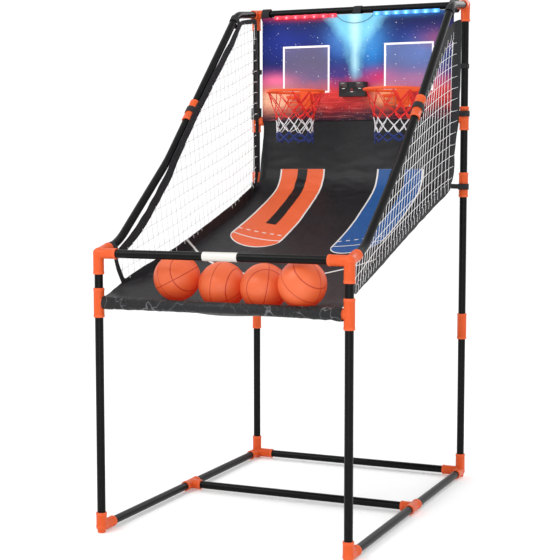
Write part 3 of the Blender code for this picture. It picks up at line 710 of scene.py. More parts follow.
def tube_paths():
    """Each tube's path, by the name of its frame node."""
    start = 0.0191
    paths = {}
    for name in ("base_mid_crossbar", "base_rear_crossbar", "handrail", "trough_bar",
                 "board_bar", "top_bar"):
        low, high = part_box(name)
        place = middle(name)
        paths[name] = [(low.x, place.y, place.z), (high.x, place.y, place.z)]
    for label, side in SIDES:
        low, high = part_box("base_side_rail_" + label)
        paths["base_side_rail_" + label] = [(side * X_POST, low.y, Z_BASE),
                                            (side * X_POST, high.y, Z_BASE)]
        for stem in ("front_leg_", "rear_leg_", "rear_mid_post_", "rear_top_post_"):
            low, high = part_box(stem + label)
            place = middle(stem + label)
            paths[stem + label] = [(place.x, place.y, low.z), (place.x, place.y, high.z)]
        points = arm_corners(side)
        coupler, along = arm_coupler_place(side)
        first = points[0] + (points[1] - points[0]).normalized() * start
        last = points[4] + (points[3] - points[4]).normalized() * start
        paths["arm_lower_" + label] = fillet(
            [first, points[1], points[2], coupler - along * 0.0003], ARM_RADII)
        paths["arm_upper_" + label] = fillet(
            [coupler + along * 0.0003, points[3], last], ARM_RADII[2:])
    return paths


def build_tubes(settings):
    """Smooth tubes in place of the faceted ones."""
    finish = powder_coat("satin_black_coat", tuple(settings.tube_colour))
    for name, path in tube_paths().items():
        bm = sweep(name, [path], TUBE_R - 0.00005, 7)
        settle(mesh_from(name + "_finish", bm), finish, "frame", "black_tube", name)


def socket_profile(radius, lip, length):
    """Outline of a socket from inside the fitting to its rounded mouth."""
    return [(0.0, -0.003), (radius, -0.003), (radius, length - 0.0085),
            (radius + lip, length - 0.0075), (radius + lip, length - 0.0010),
            (radius + lip - 0.0009, length), (TUBE_R + 0.0007, length), (0.0, length)]


def fitting_table():
    """Every fitting: node, centre, sockets as (direction, length), through (direction, half)."""
    rows = []
    for label, side in SIDES:
        x = side * X_POST
        inward = (-side, 0, 0)
        arm = arm_corners(side)
        coupler, along = arm_coupler_place(side)
        rows += [
            ("foot_elbow_" + label, (x, Y_FRONT, Z_BASE),
             [((0, 0, 1), 0.040), ((0, 1, 0), 0.062)], None),
            ("rear_base_corner_" + label, (x, Y_REAR, Z_BASE),
             [((0, 0, 1), 0.058), (inward, 0.060), ((0, -1, 0), 0.058)], None),
            ("base_tee_" + label, (x, Y_MID, Z_BASE), [(inward, 0.037)], ((0, 1, 0), 0.040)),
            ("front_tee_" + label, (x, Y_FRONT, Z_TROUGH), [(inward, 0.030)],
             ((0, 0, 1), 0.041)),
            ("front_corner_" + label, (x, Y_FRONT, Z_RAIL),
             [((0, 0, -1), 0.058), (inward, 0.058), (arm[1] - arm[0], 0.058)], None),
            ("coupler_a_" + label, (x, Y_REAR, Z_COUPLER_A), [], ((0, 0, 1), 0.042)),
            ("coupler_b_" + label, (x, Y_REAR, Z_COUPLER_B), [], ((0, 0, 1), 0.040)),
            ("board_tee_" + label, (x, Y_REAR, Z_BOARD_BAR),
             [((0, 0, 1), 0.038), ((0, 0, -1), 0.038), (inward, 0.030)], None),
            ("top_corner_" + label, (x, Y_REAR, Z_TOP),
             [((0, 0, -1), 0.054), (inward, 0.050), (arm[3] - arm[4], 0.030)], None),
            ("arm_coupler_" + label, coupler, [], (along, 0.043)),
        ]
    return rows


def build_fittings(settings):
    """Moulded push-fit fittings with lips at their mouths."""
    finish = moulded("orange_moulding", tuple(settings.fitting_colour))
    radius, lip = settings.socket_radius, settings.lip_height
    for name, centre, sockets, through in fitting_table():
        body = bmesh.new()
        bores = bmesh.new()
        centre = Vector(centre)
        if through is None:
            turn = Matrix.Translation(centre) @ Euler((0.31, 0.23, 0.17)).to_matrix().to_4x4()
            bmesh.ops.create_uvsphere(body, u_segments=32, v_segments=17, radius=radius + 0.0007,
                                      matrix=turn)
        for direction, length in sockets:
            direction = Vector(direction).normalized()
            turned(body, socket_profile(radius, lip, length), centre, direction)
            turned(bores, [(0, 0.0175), (TUBE_R + 0.00025, 0.0175),
                           (TUBE_R + 0.00025, length + 0.01), (0, length + 0.01)],
                   centre, direction, 28)
        if through is not None:
            direction, half = Vector(through[0]).normalized(), through[1]
            outline = [(r, t) for r, t in socket_profile(radius, lip, half) if t > 0]
            rows = [(r, -t) for r, t in reversed(outline)] + outline
            turned(body, rows, centre, direction)
            turned(bores, [(0, -half - 0.01), (TUBE_R + 0.00025, -half - 0.01),
                           (TUBE_R + 0.00025, half + 0.01), (0, half + 0.01)],
                   centre, direction, 28)
        if centre.z == Z_BASE and through is None:
            turned(body, [(0, 0.004), (0.0112, 0.004), (0.0112, Z_BASE - 0.0012),
                          (0.0100, Z_BASE), (0, Z_BASE)], centre, (0, 0, -1), 27)
        item = mesh_from(name + "_finish", body)
        tool = mesh_from(name + "_bores", bores)
        cut = item.modifiers.new("bores", "BOOLEAN")
        cut.solver = "EXACT"
        cut.use_self = True
        cut.object = tool
        settle(item, finish, "frame", "orange_fitting", name, angle=40.0)
        drop(tool)


# --------------------------------------------------------------------- straps
def strap(name, centre, axis, radius, width, finish, stretch=0.0, towards=(0, 1, 0), lap=0.25):
    """A band wrapped once round a tube, its end lapped over its start."""
    axis = Vector(axis).normalized()
    out = Vector(towards)
    out = (out - axis * out.dot(axis)).normalized()
    other = axis.cross(out)
    steps = 46
    bm = bmesh.new()
    rows = []
    for i in range(steps + 1):
        share = i / steps
        turn = (1.0 + lap) * 2 * math.pi * share
        rise = 0.0009 * min(1.0, max(0.0, (turn - 2 * math.pi + 0.35) / 0.3))
        reach = radius + 0.0006 + rise + 0.0002 * math.sin(5 * turn)
        spoke = out * (math.cos(turn) * reach + max(0.0, math.cos(turn)) * stretch)
        spoke += other * math.sin(turn) * reach
        row = []
        for k in range(5):
            across = (k / 4 - 0.5) * width
            lift = -0.0002 * (2 * k / 4 - 1) ** 2
            row.append(bm.verts.new(Vector(centre) + spoke + spoke.normalized() * lift
                                    + axis * across))
        rows.append(row)
    skin(bm, rows)
    item = mesh_from(name, bm)
    thicken(item, 0.0011, 1.0, 0.0003)
    return settle(item, finish, "frame", "black_fabric")


def build_straps(settings):
    """Straps that hold the board, the nets and the ramp to the tubes, and the label."""
    finish = webbing("strap_webbing", srgb(28, 28, 30))
    width = settings.strap_width
    wrap = TUBE_R + 0.0004
    board_gap = Y_REAR - BOARD_LOW.y - TUBE_R
    socket = settings.socket_radius + 0.0008
    for i, (x, reach) in enumerate(((-0.329, socket), (0.003, wrap), (0.334, socket))):
        strap("top_bar_strap_%d" % (i + 1), (x, Y_REAR, Z_TOP), (1, 0, 0), reach,
              0.028, finish, board_gap + 0.002 + wrap - reach, (0, -0.55, -0.83))
    for label, side in SIDES:
        x = side * X_POST
        strap("board_side_strap_" + label, (x, Y_REAR, 1.349), (0, 0, 1), wrap, 0.015,
              finish, 0.010, (-side, -0.6, 0))
        tee_z, tee_width = (1.206, 0.040) if side < 0 else (1.196, 0.018)
        strap("board_tee_strap_" + label, (x, Y_REAR, tee_z), (0, 0, 1), socket, tee_width,
              finish, 0.004, (0, -1, 0))
        middle_point, along = arm_coupler_place(side)
        strap("arm_coupler_strap_" + label, middle_point, along, socket, width, finish,
              0.013, (0, 0.6, -0.8))
        strap("shoulder_strap_" + label, (x, ARM_SHOULDER[0] - 0.02, ARM_SHOULDER[1] - 0.019),
              along, wrap, width, finish, 0.013, (0, 0.6, -0.8))
    build_label(settings)


def build_label(settings):
    """Plain label wrapped round the front of the handrail."""
    made, tree, shader = material("plain_label", 0.42)
    vector, *_ = object_axes(tree)
    fleck = grain(tree, vector, 900.0, 3.0)
    base = tuple(settings.label_colour)
    plug(tree, tint(tree, fleck, tuple(c * 0.94 for c in base), base),
         shader.inputs["Base Color"])
    shader.inputs["Coat Weight"].default_value = 0.4
    bump(tree, shader, fleck, 0.00004, 0.4)
    bm = bmesh.new()
    rows = []
    low, high = -0.046, 0.056
    for i in range(25):
        turn = math.radians(-150 + 250 * i / 24)
        row = []
        for k in range(13):
            x = low + (high - low) * k / 12
            row.append(bm.verts.new((x, Y_FRONT - math.cos(turn) * (TUBE_R + 0.0004),
                                     Z_RAIL + math.sin(turn) * (TUBE_R + 0.0004))))
        rows.append(row)
    skin(bm, rows)
    item = mesh_from("handrail_label", bm)
    thicken(item, 0.0003, 1.0)
    settle(item, made, "frame", "black_fabric")


# ----------------------------------------------------------------------- ramp
RAMP_HALF_W = 0.355
# y, share of the half width, height of the sewn edge, sag of the middle below that
RAMP_ROWS = (
    (-0.460, 0.986, 0.690, 0.067), (-0.400, 0.958, 0.698, 0.058), (-0.330, 0.932, 0.708, 0.050),
    (-0.230, 0.910, 0.729, 0.044), (-0.130, 0.899, 0.755, 0.042), (-0.030, 0.896, 0.785, 0.044),
    (0.070, 0.896, 0.815, 0.044), (0.150, 0.896, 0.839, 0.043), (0.220, 0.899, 0.861, 0.040),
    (0.285, 0.904, 0.881, 0.033), (0.345, 0.913, 0.902, 0.024), (0.395, 0.924, 0.920, 0.016),
    (0.440, 0.945, 0.938, 0.008), (0.474, 0.958, 0.958, 0.002), (0.493, 0.967, 0.982, 0.001),
    (0.503, 0.972, 1.006, 0.000), (0.5095, 0.972, 1.045, 0.000), (0.5135, 0.960, 1.090, 0.000),
    (0.5155, 0.949, 1.140, 0.000),
)
LANE_X = 0.176              # where the cloth's length is measured
LANES = ((-0.187, 0.128), (0.162, 0.102))  # middle of each lane, y of its straight line


def arc(y, z, radius, first, last, count):
    """Points on a circle in the y, z plane; angles in degrees from +Y."""
    points = []
    for i in range(count + 1):
        angle = math.radians(first + (last - first) * i / count)
        points.append((y + radius * math.cos(angle), z + radius * math.sin(angle)))
    return points


def ramp_section(x):
    """Rows of (share of half width, y, z) for the ramp cut at one x."""
    across = (x / RAMP_HALF_W) ** 2
    loose = 0.0158 + 0.0018 * min(1.0, max(0.0, (abs(x) - 0.322) / 0.014))
    leave = 20 + 85 * across
    rows = [(0.996, y, z) for y, z in arc(Y_FRONT, Z_TROUGH, loose, 330, leave, 7)]
    rows.append((1.0, Y_FRONT + 0.036, 0.633 + 0.044 * across))
    for y, share, edge, sag in RAMP_ROWS:
        rows.append((share, y, edge - sag * (1.0 - across)))
    sleeve = arc(Y_REAR, Z_BOARD_BAR, 0.0144, 180, -100, 6)
    rows += [(RAMP_ROWS[-1][1], y, z) for y, z in sleeve]
    return rows


def ridged(place, scale):
    """Creases: sharp crests of a noise field."""
    return 1.0 - abs(noise.noise(Vector(place) * scale)) * 2.2


def ramp_wrinkle(x, run, y, height):
    """How far the cloth lifts off its smooth section at one point."""
    slow = noise.noise(Vector((x * 7 + run * 4, run * 3.2 - x * 2, 3.1)))
    drag = noise.noise(Vector((x * 3 - run * 5, run * 17 + x * 9, 7.7)))
    lift = height * (0.45 * slow + 0.30 * drag)
    near_hem = math.exp(-((y - Y_FRONT) / 0.045) ** 2)
    outer = min(1.0, 0.25 + (abs(x) / 0.30) ** 3)
    crumple = ridged((x, run * 0.7, 1.3), 26) * 0.7 + ridged((x * 0.7, run, 8.3), 55) * 0.35
    lift += height * 1.1 * near_hem * outer * max(-0.3, crumple - 0.25)
    fold = math.exp(-((y - 0.47) / 0.05) ** 2)
    lift += height * 0.9 * fold * (ridged((x * 0.35, run, 4.2), 30) - 0.5)
    return lift


# y, height to which the ramp's edge is turned up inside the net's tape
LIP_ROWS = ((-0.462, 0.0), (-0.430, 0.010), (-0.400, 0.020), (-0.330, 0.032), (-0.230, 0.036),
            (0.345, 0.036), (0.395, 0.033), (0.440, 0.026), (0.476, 0.0))
LIP_STEPS = 4
SLEEVE_Z = 1.12             # above this the cloth lies round the board bar
HEM_X = 0.318               # half width of the cloth between the turned-up edges
LIP_START = 40              # rows round the trough bar carry no lip


def ramp_runs():
    """Distance along the cloth at the lanes, row by row, with each row's y."""
    rows = smooth_path(ramp_section(LANE_X))
    run = 0.0
    runs = [(0.0, rows[0][1], rows[0][2])]
    for first, second in zip(rows, rows[1:]):
        run += math.dist(first[1:], second[1:])
        runs.append((run, second[1], second[2]))
    return runs


def run_at(y):
    """Distance along the cloth where the lanes cross a given y below the bend."""
    for first, second in zip(ramp_runs(), ramp_runs()[1:]):
        if first[1] <= y <= second[1] and second[2] > Z_TROUGH - 0.05 and first[0] > 0.06:
            share = (y - first[1]) / max(1e-9, second[1] - first[1])
            return first[0] + (second[0] - first[0]) * share
    raise ValueError("the ramp has no row at y %.3f" % y)


def printed_cloth(settings):
    """Black woven cloth with the two lanes and the court line printed on it, and painted shade and
    highlights on its gathered front edge.
    """
    made, tree, shader = material("printed_ramp_cloth", 0.5)
    uv = tree.nodes.new("ShaderNodeUVMap")
    uv.uv_map = "cloth"
    split = tree.nodes.new("ShaderNodeSeparateXYZ")
    tree.links.new(uv.outputs[0], split.inputs[0])
    u, v = Term(tree, split.outputs[0]), Term(tree, split.outputs[1])
    edge = 0.0009
    wobble = (grain(tree, uv.outputs[0], 260.0, 2.0) - 0.5) * 0.0006
    u, v = u + wobble, v + wobble
    top = run_at(0.503) + 0.011
    slot_end = run_at(0.234)
    base = tuple(settings.cloth_colour)
    vector = uv.outputs[0]
    rub = grain(tree, vector, 5.0, 5.0, 0.6)
    streak = grain(tree, vector, 18.0, 4.0, 0.6, (1.0, 0.25, 1.0))
    shade = tint(tree, rub * 0.6 + streak * 0.4, tuple(c * 0.70 for c in base),
                 tuple(c * 1.45 + 0.002 for c in base))
    white = srgb(236, 232, 228)

    # long court line, a bowl across the ramp
    beside = abs(u).least(HEM_X)
    bowl = beside / 0.36
    drop_line = (-(bowl * bowl) + 1.0).root() * 0.211 + (abs(u) - beside)
    line = abs(v + drop_line - run_at(0.042)).below(0.0055, edge)
    printed = printed_side(tree)
    shade = tint(tree, line * printed, shade, white)

    for (lane_x, lane_y), ink in zip(LANES, (settings.warm_lane, settings.cool_lane)):
        ink = tuple(ink)
        straight = run_at(lane_y)
        across = u - lane_x
        half = (v - straight) * -0.008 + 0.0850
        share = across / half
        round_end = (-(share * share) + 1.0).root()
        end = -(round_end * 0.084) + straight
        inside = abs(across).below(half, edge) * v.below(top, edge) * v.above(end, edge)
        core = (abs(across).below(half - 0.0055, edge) * v.above(end + 0.0065, edge)
                * v.below(top, edge))
        speck = grain(tree, vector, 120.0, 3.0)
        dye = tint(tree, speck, tuple(c * 0.90 for c in ink), tuple(c * 1.06 for c in ink))
        core = core * printed
        shade = tint(tree, inside * printed, shade, white)
        shade = tint(tree, core, shade, dye)
        slot = abs(across).below(0.0178, edge) * v.above(slot_end, edge) * v.below(top, edge)
        shade = tint(tree, slot, shade, tuple(c * 0.8 for c in base))
        upper = v - straight - 0.034 - round_end * 0.008
        lower = v - straight + round_end * 0.010
        dash = ((share * 19.6).do("SINE")).above(0.0, 0.1)
        marks = (abs(upper).below(0.0029, edge) * dash).most(abs(lower).below(0.0027, edge))
        shade = tint(tree, marks * core, shade, white)

    # painted shade over the gathered front edge, and painted highlights along the ridges of its
    # gathers
    hem = v.below(0.085, 0.03) * (abs(u).above(0.10, 0.16) * 0.7 + 0.3)
    gather = grain(tree, vector, 19.0, 2.0, 0.5, (1.0, 0.7, 1.3))
    ridge = abs(gather - 0.5).below(0.0075, 0.010) * grain(tree, vector, 11.0).above(0.46, 0.1)
    # painted shade: the hem is darkened towards black
    shade = tint(tree, hem * 0.35, shade, (0.0, 0.0, 0.0))
    # painted highlight: pale lines along the gathers' ridges
    shade = tint(tree, ridge * hem * 0.85, shade, srgb(112, 112, 116))

    threads = weave(u, v, 0.0013)
    fuzz = grain(tree, vector, 700.0, 3.0)
    shade = tint(tree, (threads * 0.5 + 0.5) * 0.22, shade, (0.0, 0.0, 0.0))
    plug(tree, shade, shader.inputs["Base Color"])
    plug(tree, rub * 0.16 + streak * 0.14 + 0.26, shader.inputs["Roughness"])
    shader.inputs["Sheen Weight"].default_value = 0.02
    crease = grain(tree, vector, 38.0, 5.0, 0.62, (1.0, 0.6, 1.0))
    swell = grain(tree, vector, 7.0, 3.0, 0.5, (1.0, 0.7, 1.0))
    sharp = abs(grain(tree, vector, 46.0, 3.0, 0.6, (1.0, 0.8, 1.0)) - 0.5)
    shader.inputs["Specular IOR Level"].default_value = 0.26
    bump(tree, shader, threads * 0.03 + fuzz * 0.05 + crease + swell * 6.0 - sharp * hem * 14.0,
         0.0022, 0.65)
    return made


def build_ramp(settings):
    """Printed cloth that runs from the board bar down round the trough bar."""
    columns = 132
    height = settings.wrinkle
    runs = ramp_runs()
    balls = [middle("ball_%d" % i) for i in range(1, 5)]
    xs = [-RAMP_HALF_W + 2 * RAMP_HALF_W * i / columns for i in range(columns + 1)]
    grid = [[Vector((x * wide, y, z)) for wide, y, z in smooth_path(ramp_section(x))]
            for x in xs]
    bm = bmesh.new()
    places = []
    for c, column in enumerate(grid):
        row_verts = []
        for r, place in enumerate(column):
            before, after = column[max(0, r - 1)], column[min(len(column) - 1, r + 1)]
            normal = (after - before).cross(Vector((1, 0, 0))).normalized()
            lift = ramp_wrinkle(xs[c], runs[r][0], place.y, height)
            near = min((place - ball).length for ball in balls) - BALL_R
            if near < 0.02:
                lift = min(lift, 0.0) * max(0.0, near / 0.02)
            from_bar = place - Vector((place.x, Y_FRONT, Z_TROUGH))
            if place.z > SLEEVE_Z:
                lift = abs(lift) * 0.15
            elif from_bar.length < 0.02:
                lift = abs(lift)
                normal = from_bar.normalized()
            row_verts.append(bm.verts.new(place + normal * lift))
        places.append(row_verts)
    layer = bm.loops.layers.uv.new("cloth")
    for c in range(columns):
        for r in range(len(grid[0]) - 1):
            face = bm.faces.new((places[c][r], places[c + 1][r], places[c + 1][r + 1],
                                 places[c][r + 1]))
            corners = ((c, r), (c + 1, r), (c + 1, r + 1), (c, r + 1))
            for loop, (i, j) in zip(face.loops, corners):
                loop[layer].uv = (grid[i][j].x, runs[j][0])
    for side, c in ((-1, 0), (1, columns)):
        edge_x = side * RAMP_HALF_W
        before = [(places[c][r], grid[c][r].x) for r in range(len(grid[0]))]
        for step in range(1, LIP_STEPS + 1):
            after = []
            for r, place in enumerate(grid[c]):
                tall = level(LIP_ROWS, place.y) * step / LIP_STEPS if r > LIP_START else 0.0
                flat = Vector((place.y, place.z + tall))
                out = net_x(*flat, side) + tape_ripple(side, flat) - 0.0024
                reach = side * (out if tall else abs(edge_x))
                spot = Vector((reach, *flat)) if tall else grid[c][r]
                after.append((bm.verts.new(spot) if tall else before[r][0],
                              grid[c][r].x + side * tall))
            for r in range(len(after) - 1):
                ring = [(before[r], r), (after[r], r),
                        (after[r + 1], r + 1), (before[r + 1], r + 1)]
                ring = [item for i, item in enumerate(ring) if item[0][0] != ring[i - 1][0][0]]
                if len(ring) < 3:
                    continue
                if side < 0:
                    ring.reverse()
                face = bm.faces.new([vert for (vert, _), _ in ring])
                for loop, ((_, wide), row) in zip(face.loops, ring):
                    loop[layer].uv = (wide, runs[row][0])
            before = after
    item = mesh_from("ramp_cloth", bm, recalc=False)
    thicken(item, 0.0007, -1.0)
    flat = (2 * RAMP_HALF_W * 0.985, runs[-1][0] + 0.012)
    settle(item, printed_cloth(settings), "frame", "black_fabric", "ramp_fabric", angle=60)


# ------------------------------------------------------------------ side nets
# y, z, width of the tape: front tie, arm, top and rear edges
NET_SIDES = (
    (-0.436, 0.689, 0.016), (-0.480, 0.777, 0.017), (-0.423, 0.808, 0.026),
    (-0.350, 0.852, 0.028), (-0.285, 0.901, 0.028), (-0.220, 0.9555, 0.028),
    (-0.150, 1.019, 0.028), (-0.1225, 1.046, 0.028), (0.032, 1.195, 0.028),
    (0.2056, 1.3549, 0.028), (0.292, 1.4425, 0.026), (0.352, 1.502, 0.018),
    (0.372, 1.510, 0.014), (0.495, 1.529, 0.017), (0.498, 1.430, 0.024),
    (0.498, 1.250, 0.024), (0.494, 1.100, 0.024), (0.486, 1.000, 0.024),
    (0.474, 0.952, 0.026),
)
# how far the right net's upper corners have slipped, and the left one is pulled
# to its arm: y, z and more tape
SLIP = ((0.006, -0.006, 0.004), (0.028, -0.030, 0.010), (0.032, -0.036, 0.014),
        (0.034, -0.040, 0.020), (0.034, -0.044, 0.030), (0.034, -0.050, 0.034),
        (0.000, -0.030, 0.030), (0.000, -0.030, 0.026), (0.000, 0.000, 0.014),
        (0.000, 0.000, 0.008))
TIGHT = ((-0.003, 0.004, 0.0), (-0.006, 0.008, 0.0), (-0.005, 0.007, 0.0))
REAR_LEAN = 0.015           # the right net's rear tape turns out to its post by this much
HEM_WIDTHS = (0.022, 0.034) + (0.038,) * 8 + (0.036, 0.031)
HEM_ROWS = RAMP_ROWS[:14]
HEM_DROP = 0.004            # the net's hem hangs this far below the ramp's edge
HEM_GAP = 0.0035            # and this far outside it
NET_X = 0.3535
NET_SLOPE = 0.279


def net_outline(side):
    """Corners of the tape's outer edge with the tape's width at each."""
    hem = [(row[0], row[2] - HEM_DROP, width) for row, width in zip(HEM_ROWS[1:-1], HEM_WIDTHS)]
    around = list(NET_SIDES) + list(reversed(hem))
    for i, moved in enumerate(SLIP if side > 0 else TIGHT, start=7):
        around[i] = tuple(a + b for a, b in zip(around[i], moved))
    return around


def shrink(outline, share=1.0, more=0.0):
    """Move a clockwise outline inwards by a share of the tape's width, and a little more."""
    flat = [Vector(point[:2]) for point in outline]
    inner = []
    for i, here in enumerate(flat):
        into = (here - flat[i - 1]).normalized()
        out = (flat[(i + 1) % len(flat)] - here).normalized()
        bisector = (Vector((into.y, -into.x)) + Vector((out.y, -out.x))).normalized()
        reach = outline[i][2] * share + more
        inner.append(here + bisector * reach / bisector.dot(Vector((out.y, -out.x))))
    return inner


def level(chain, place):
    """Value at a place on a chain of rising (place, value) pairs, held at its ends."""
    for (low, first), (high, second) in zip(chain, chain[1:]):
        if place <= high:
            return first + (second - first) * max(0.0, (place - low) / (high - low))
    return chain[-1][1]


def net_x(y, z, side):
    """The net's distance from the machine's middle: its hem is drawn in by the ramp."""
    hem = level([(row[0], row[1] * RAMP_HALF_W + HEM_GAP) for row in HEM_ROWS], y)
    low = level([(row[0], row[2] - HEM_DROP) for row in HEM_ROWS], y)
    high = level([point[:2] for point in NET_SIDES[1:14]], y)
    rise = max(0.0, min(1.0, (z - low) / (high - low)))
    lean = 0.0
    if side > 0:
        lean = (REAR_LEAN * max(0.0, min(1.0, (y - 0.462) / 0.034))
                * max(0.0, min(1.0, (z - 1.0) / 0.2)))
    return hem + (NET_X - hem) * rise + lean


def tape_ripple(side, flat):
    """How far the tape waves out of the net's surface."""
    return 0.0020 * noise.noise(Vector((flat.x * 22, flat.y * 22, side * 3.0)))


def matched(outer, inner, step=0.009):
    """Points along two outlines with the same number on each edge."""
    pairs = []
    for i in range(len(outer)):
        j = (i + 1) % len(outer)
        count = max(1, round((outer[j] - outer[i]).length / step))
        for k in range(count):
            pairs.append((outer[i].lerp(outer[j], k / count),
                          inner[i].lerp(inner[j], k / count)))
    return pairs


def eased(points, rounds):
    """Round a closed outline's corners by averaging neighbours."""
    for _ in range(rounds):
        points = [(a + b * 2 + c) / 4 for a, b, c in
                  zip(points[-1:] + points[:-1], points, points[1:] + points[:1])]
    return points


def cuts(outline, vertical, place):
    """Where an upright or sloping line crosses an outline, in order along it."""
    found = []
    for first, second in zip(outline, outline[1:] + outline[:1]):
        if vertical:
            a, b = first.x - place, second.x - place
        else:
            a = first.y - NET_SLOPE * first.x - place
            b = second.y - NET_SLOPE * second.x - place
        if (a < 0) != (b < 0):
            found.append(first.lerp(second, a / (a - b)))
    return sorted(found, key=lambda p: p.y if vertical else p.x)


def inside(outline, point):
    """Whether a flat point lies within an outline."""
    odd = False
    for first, second in zip(outline, outline[1:] + outline[:1]):
        if (first.y > point.y) != (second.y > point.y):
            share = (point.y - first.y) / (second.y - first.y)
            if point.x < first.x + (second.x - first.x) * share:
                odd = not odd
    return odd


def net_place(side, point):
    """A flat net point in space: the net bellies slightly and hangs unevenly."""
    sway = noise.noise(Vector((point.x * 6, point.y * 6, side * 2.0)))
    shift = noise.noise(Vector((point.x * 31, point.y * 27, side * 5.0)))
    out = net_x(point.x, point.y, side) + 0.0035 * sway
    return Vector((side * out, point.x + 0.0014 * shift, point.y + 0.0014 * sway))


NET_START = (-0.46, 0.62)   # y, z that the net's columns and rows are counted from
NET_COLUMNS = 40
NET_ROWS = 60


def net_chains(side, settings):
    """Cords of one side net: knotted mesh, with tails stitched over the tape."""
    outline = net_outline(side)
    field = shrink(outline, 1.0, 0.001)
    tails = shrink(outline, 0.30)
    column, row = settings.net_column, settings.net_row
    chains = []
    lacing = []
    knots = {}
    for i in range(NET_COLUMNS):
        y = NET_START[0] + i * column
        for first, second in zip(*[iter(cuts(field, True, y))] * 2):
            chain = [first]
            for j in range(NET_ROWS):
                z = NET_START[1] + NET_SLOPE * (y - NET_START[0]) + j * row
                if first.y + 0.004 < z < second.y - 0.004:
                    knots[i, j] = Vector((y, z))
                    chain.append(knots[i, j])
            chains.append(chain + [second])
    for j in range(NET_ROWS):
        line = NET_START[1] - NET_SLOPE * NET_START[0] + j * row
        for first, second in zip(*[iter(cuts(field, False, line))] * 2):
            marks = [knots[i, j] for i in range(NET_COLUMNS)
                     if (i, j) in knots and first.x < knots[i, j].x < second.x]
            chains.append([first] + marks + [second])
    for chain in chains:
        for end, near in ((chain[0], chain[1]), (chain[-1], chain[-2])):
            away = (end - near).normalized()
            reach = 0.004
            while reach < 0.024 and inside(tails, end + away * reach):
                reach += 0.001
            lacing.append((end, end + away * reach))
    return chains, lacing


def build_side_net(label, side, settings, cord_material, tape_material):
    """Knotted cord net, its tape border and the lacing that joins them."""
    chains, lacing = net_chains(side, settings)
    lines = [[net_place(side, p) for p in chain] for chain in chains]
    item = wire_mesh("side_net_cords_" + label, lines)
    with_group(item, cord_group(), cord_radius=settings.cord_radius,
               knot_radius=settings.cord_radius * 2.0, cord_sides=5, material=cord_material)
    settle(item, None, "frame", "net_cord", "side_net_" + label, angle=180)

    draw = random.Random(11 + side)
    loops = []
    for end, tail in lacing:
        skew = Vector((draw.uniform(-0.002, 0.002), draw.uniform(-0.002, 0.002)))
        first = net_place(side, end)
        for face, shares in ((1, (0.25, 0.6, 1.0)), (-1, (0.10, 0.22, draw.uniform(0.25, 0.45)))):
            if face < 0 and draw.random() < 0.55:
                continue
            strand = [first]
            for share in shares:
                flat = end.lerp(tail + skew, share) + Vector((0.0006 * face, 0.0))
                out = net_x(flat.x, flat.y, side) + tape_ripple(side, flat)
                out += 0.0026 if face > 0 else -0.0040
                strand.append(Vector((side * out, flat.x, flat.y)))
            loops.append(strand)
    stitches = wire_mesh("side_net_lacing_" + label, loops)
    with_group(stitches, cord_group(), cord_radius=settings.cord_radius * 0.95,
               knot_radius=settings.cord_radius * 1.25, cord_sides=5, material=cord_material)
    settle(stitches, None, "frame", "net_cord", angle=180)

    outline = net_outline(side)
    pairs = matched([Vector(point[:2]) for point in outline], shrink(outline))
    rims = [eased([a for a, _ in pairs], 3), eased([b for _, b in pairs], 3)]
    bm = bmesh.new()
    rows = []
    for k in range(6):
        share = k / 5
        puff = 0.0010 * (1 - (2 * share - 1) ** 2)
        row = []
        for a, b in zip(*rims):
            flat = a.lerp(b, share)
            out = net_x(flat.x, flat.y, side) + puff * 0.4 + tape_ripple(side, flat)
            row.append(bm.verts.new((side * out, flat.x, flat.y)))
        rows.append(row)
    skin(bm, rows, closed=True)
    tape = mesh_from("side_net_tape_" + label, bm)
    thicken(tape, 0.0018, rounding=0.0005)
    settle(tape, tape_material, "frame", "net_cord")


def band(name, path, width, across, finish):
    """A flat band along a path; across gives its width direction."""
    bm = bmesh.new()
    rows = []
    across = Vector(across).normalized()
    for place in path:
        rows.append([bm.verts.new(Vector(place) + across * width * (k / 4 - 0.5))
                     for k in range(5)])
    skin(bm, rows)
    item = mesh_from(name, bm)
    thicken(item, 0.0012, rounding=0.00036)
    return settle(item, finish, "frame", "black_fabric")


def build_net_ties(label, side, finish):
    """Tapes and straps that draw the net's corners to the posts."""
    post = side * X_POST
    socket = bpy.context.scene.hoop_frame.socket_radius + 0.0008
    arm = arm_corners(side)
    along = (arm[1] - arm[0]).normalized()
    strap("front_corner_strap_" + label, arm[0] + along * 0.0665, along, TUBE_R + 0.0004,
          0.017, finish, 0.010, (-side, 0.2, -0.9))
    corner_y, corner_z, _ = NET_SIDES[-1]
    corner = Vector((side * net_x(corner_y, corner_z, side), corner_y + 0.003, corner_z + 0.010))
    end = Vector((post, Y_REAR - 0.013, Z_COUPLER_B - 0.006))
    side_step = Vector((side * 0.006, 0, 0))
    path = smooth_path([tuple(corner), tuple(corner.lerp(end, 0.5) + side_step * 0.6),
                        tuple(end + side_step * 2.4)], 8)
    band("rear_tie_" + label, path, 0.016, (0, 0.30, 0.95), finish)
    strap("coupler_strap_" + label, (post, Y_REAR, Z_COUPLER_B - 0.006), (0, 0, 1),
          socket, 0.019, finish, 0.004, (0, -1, 0))
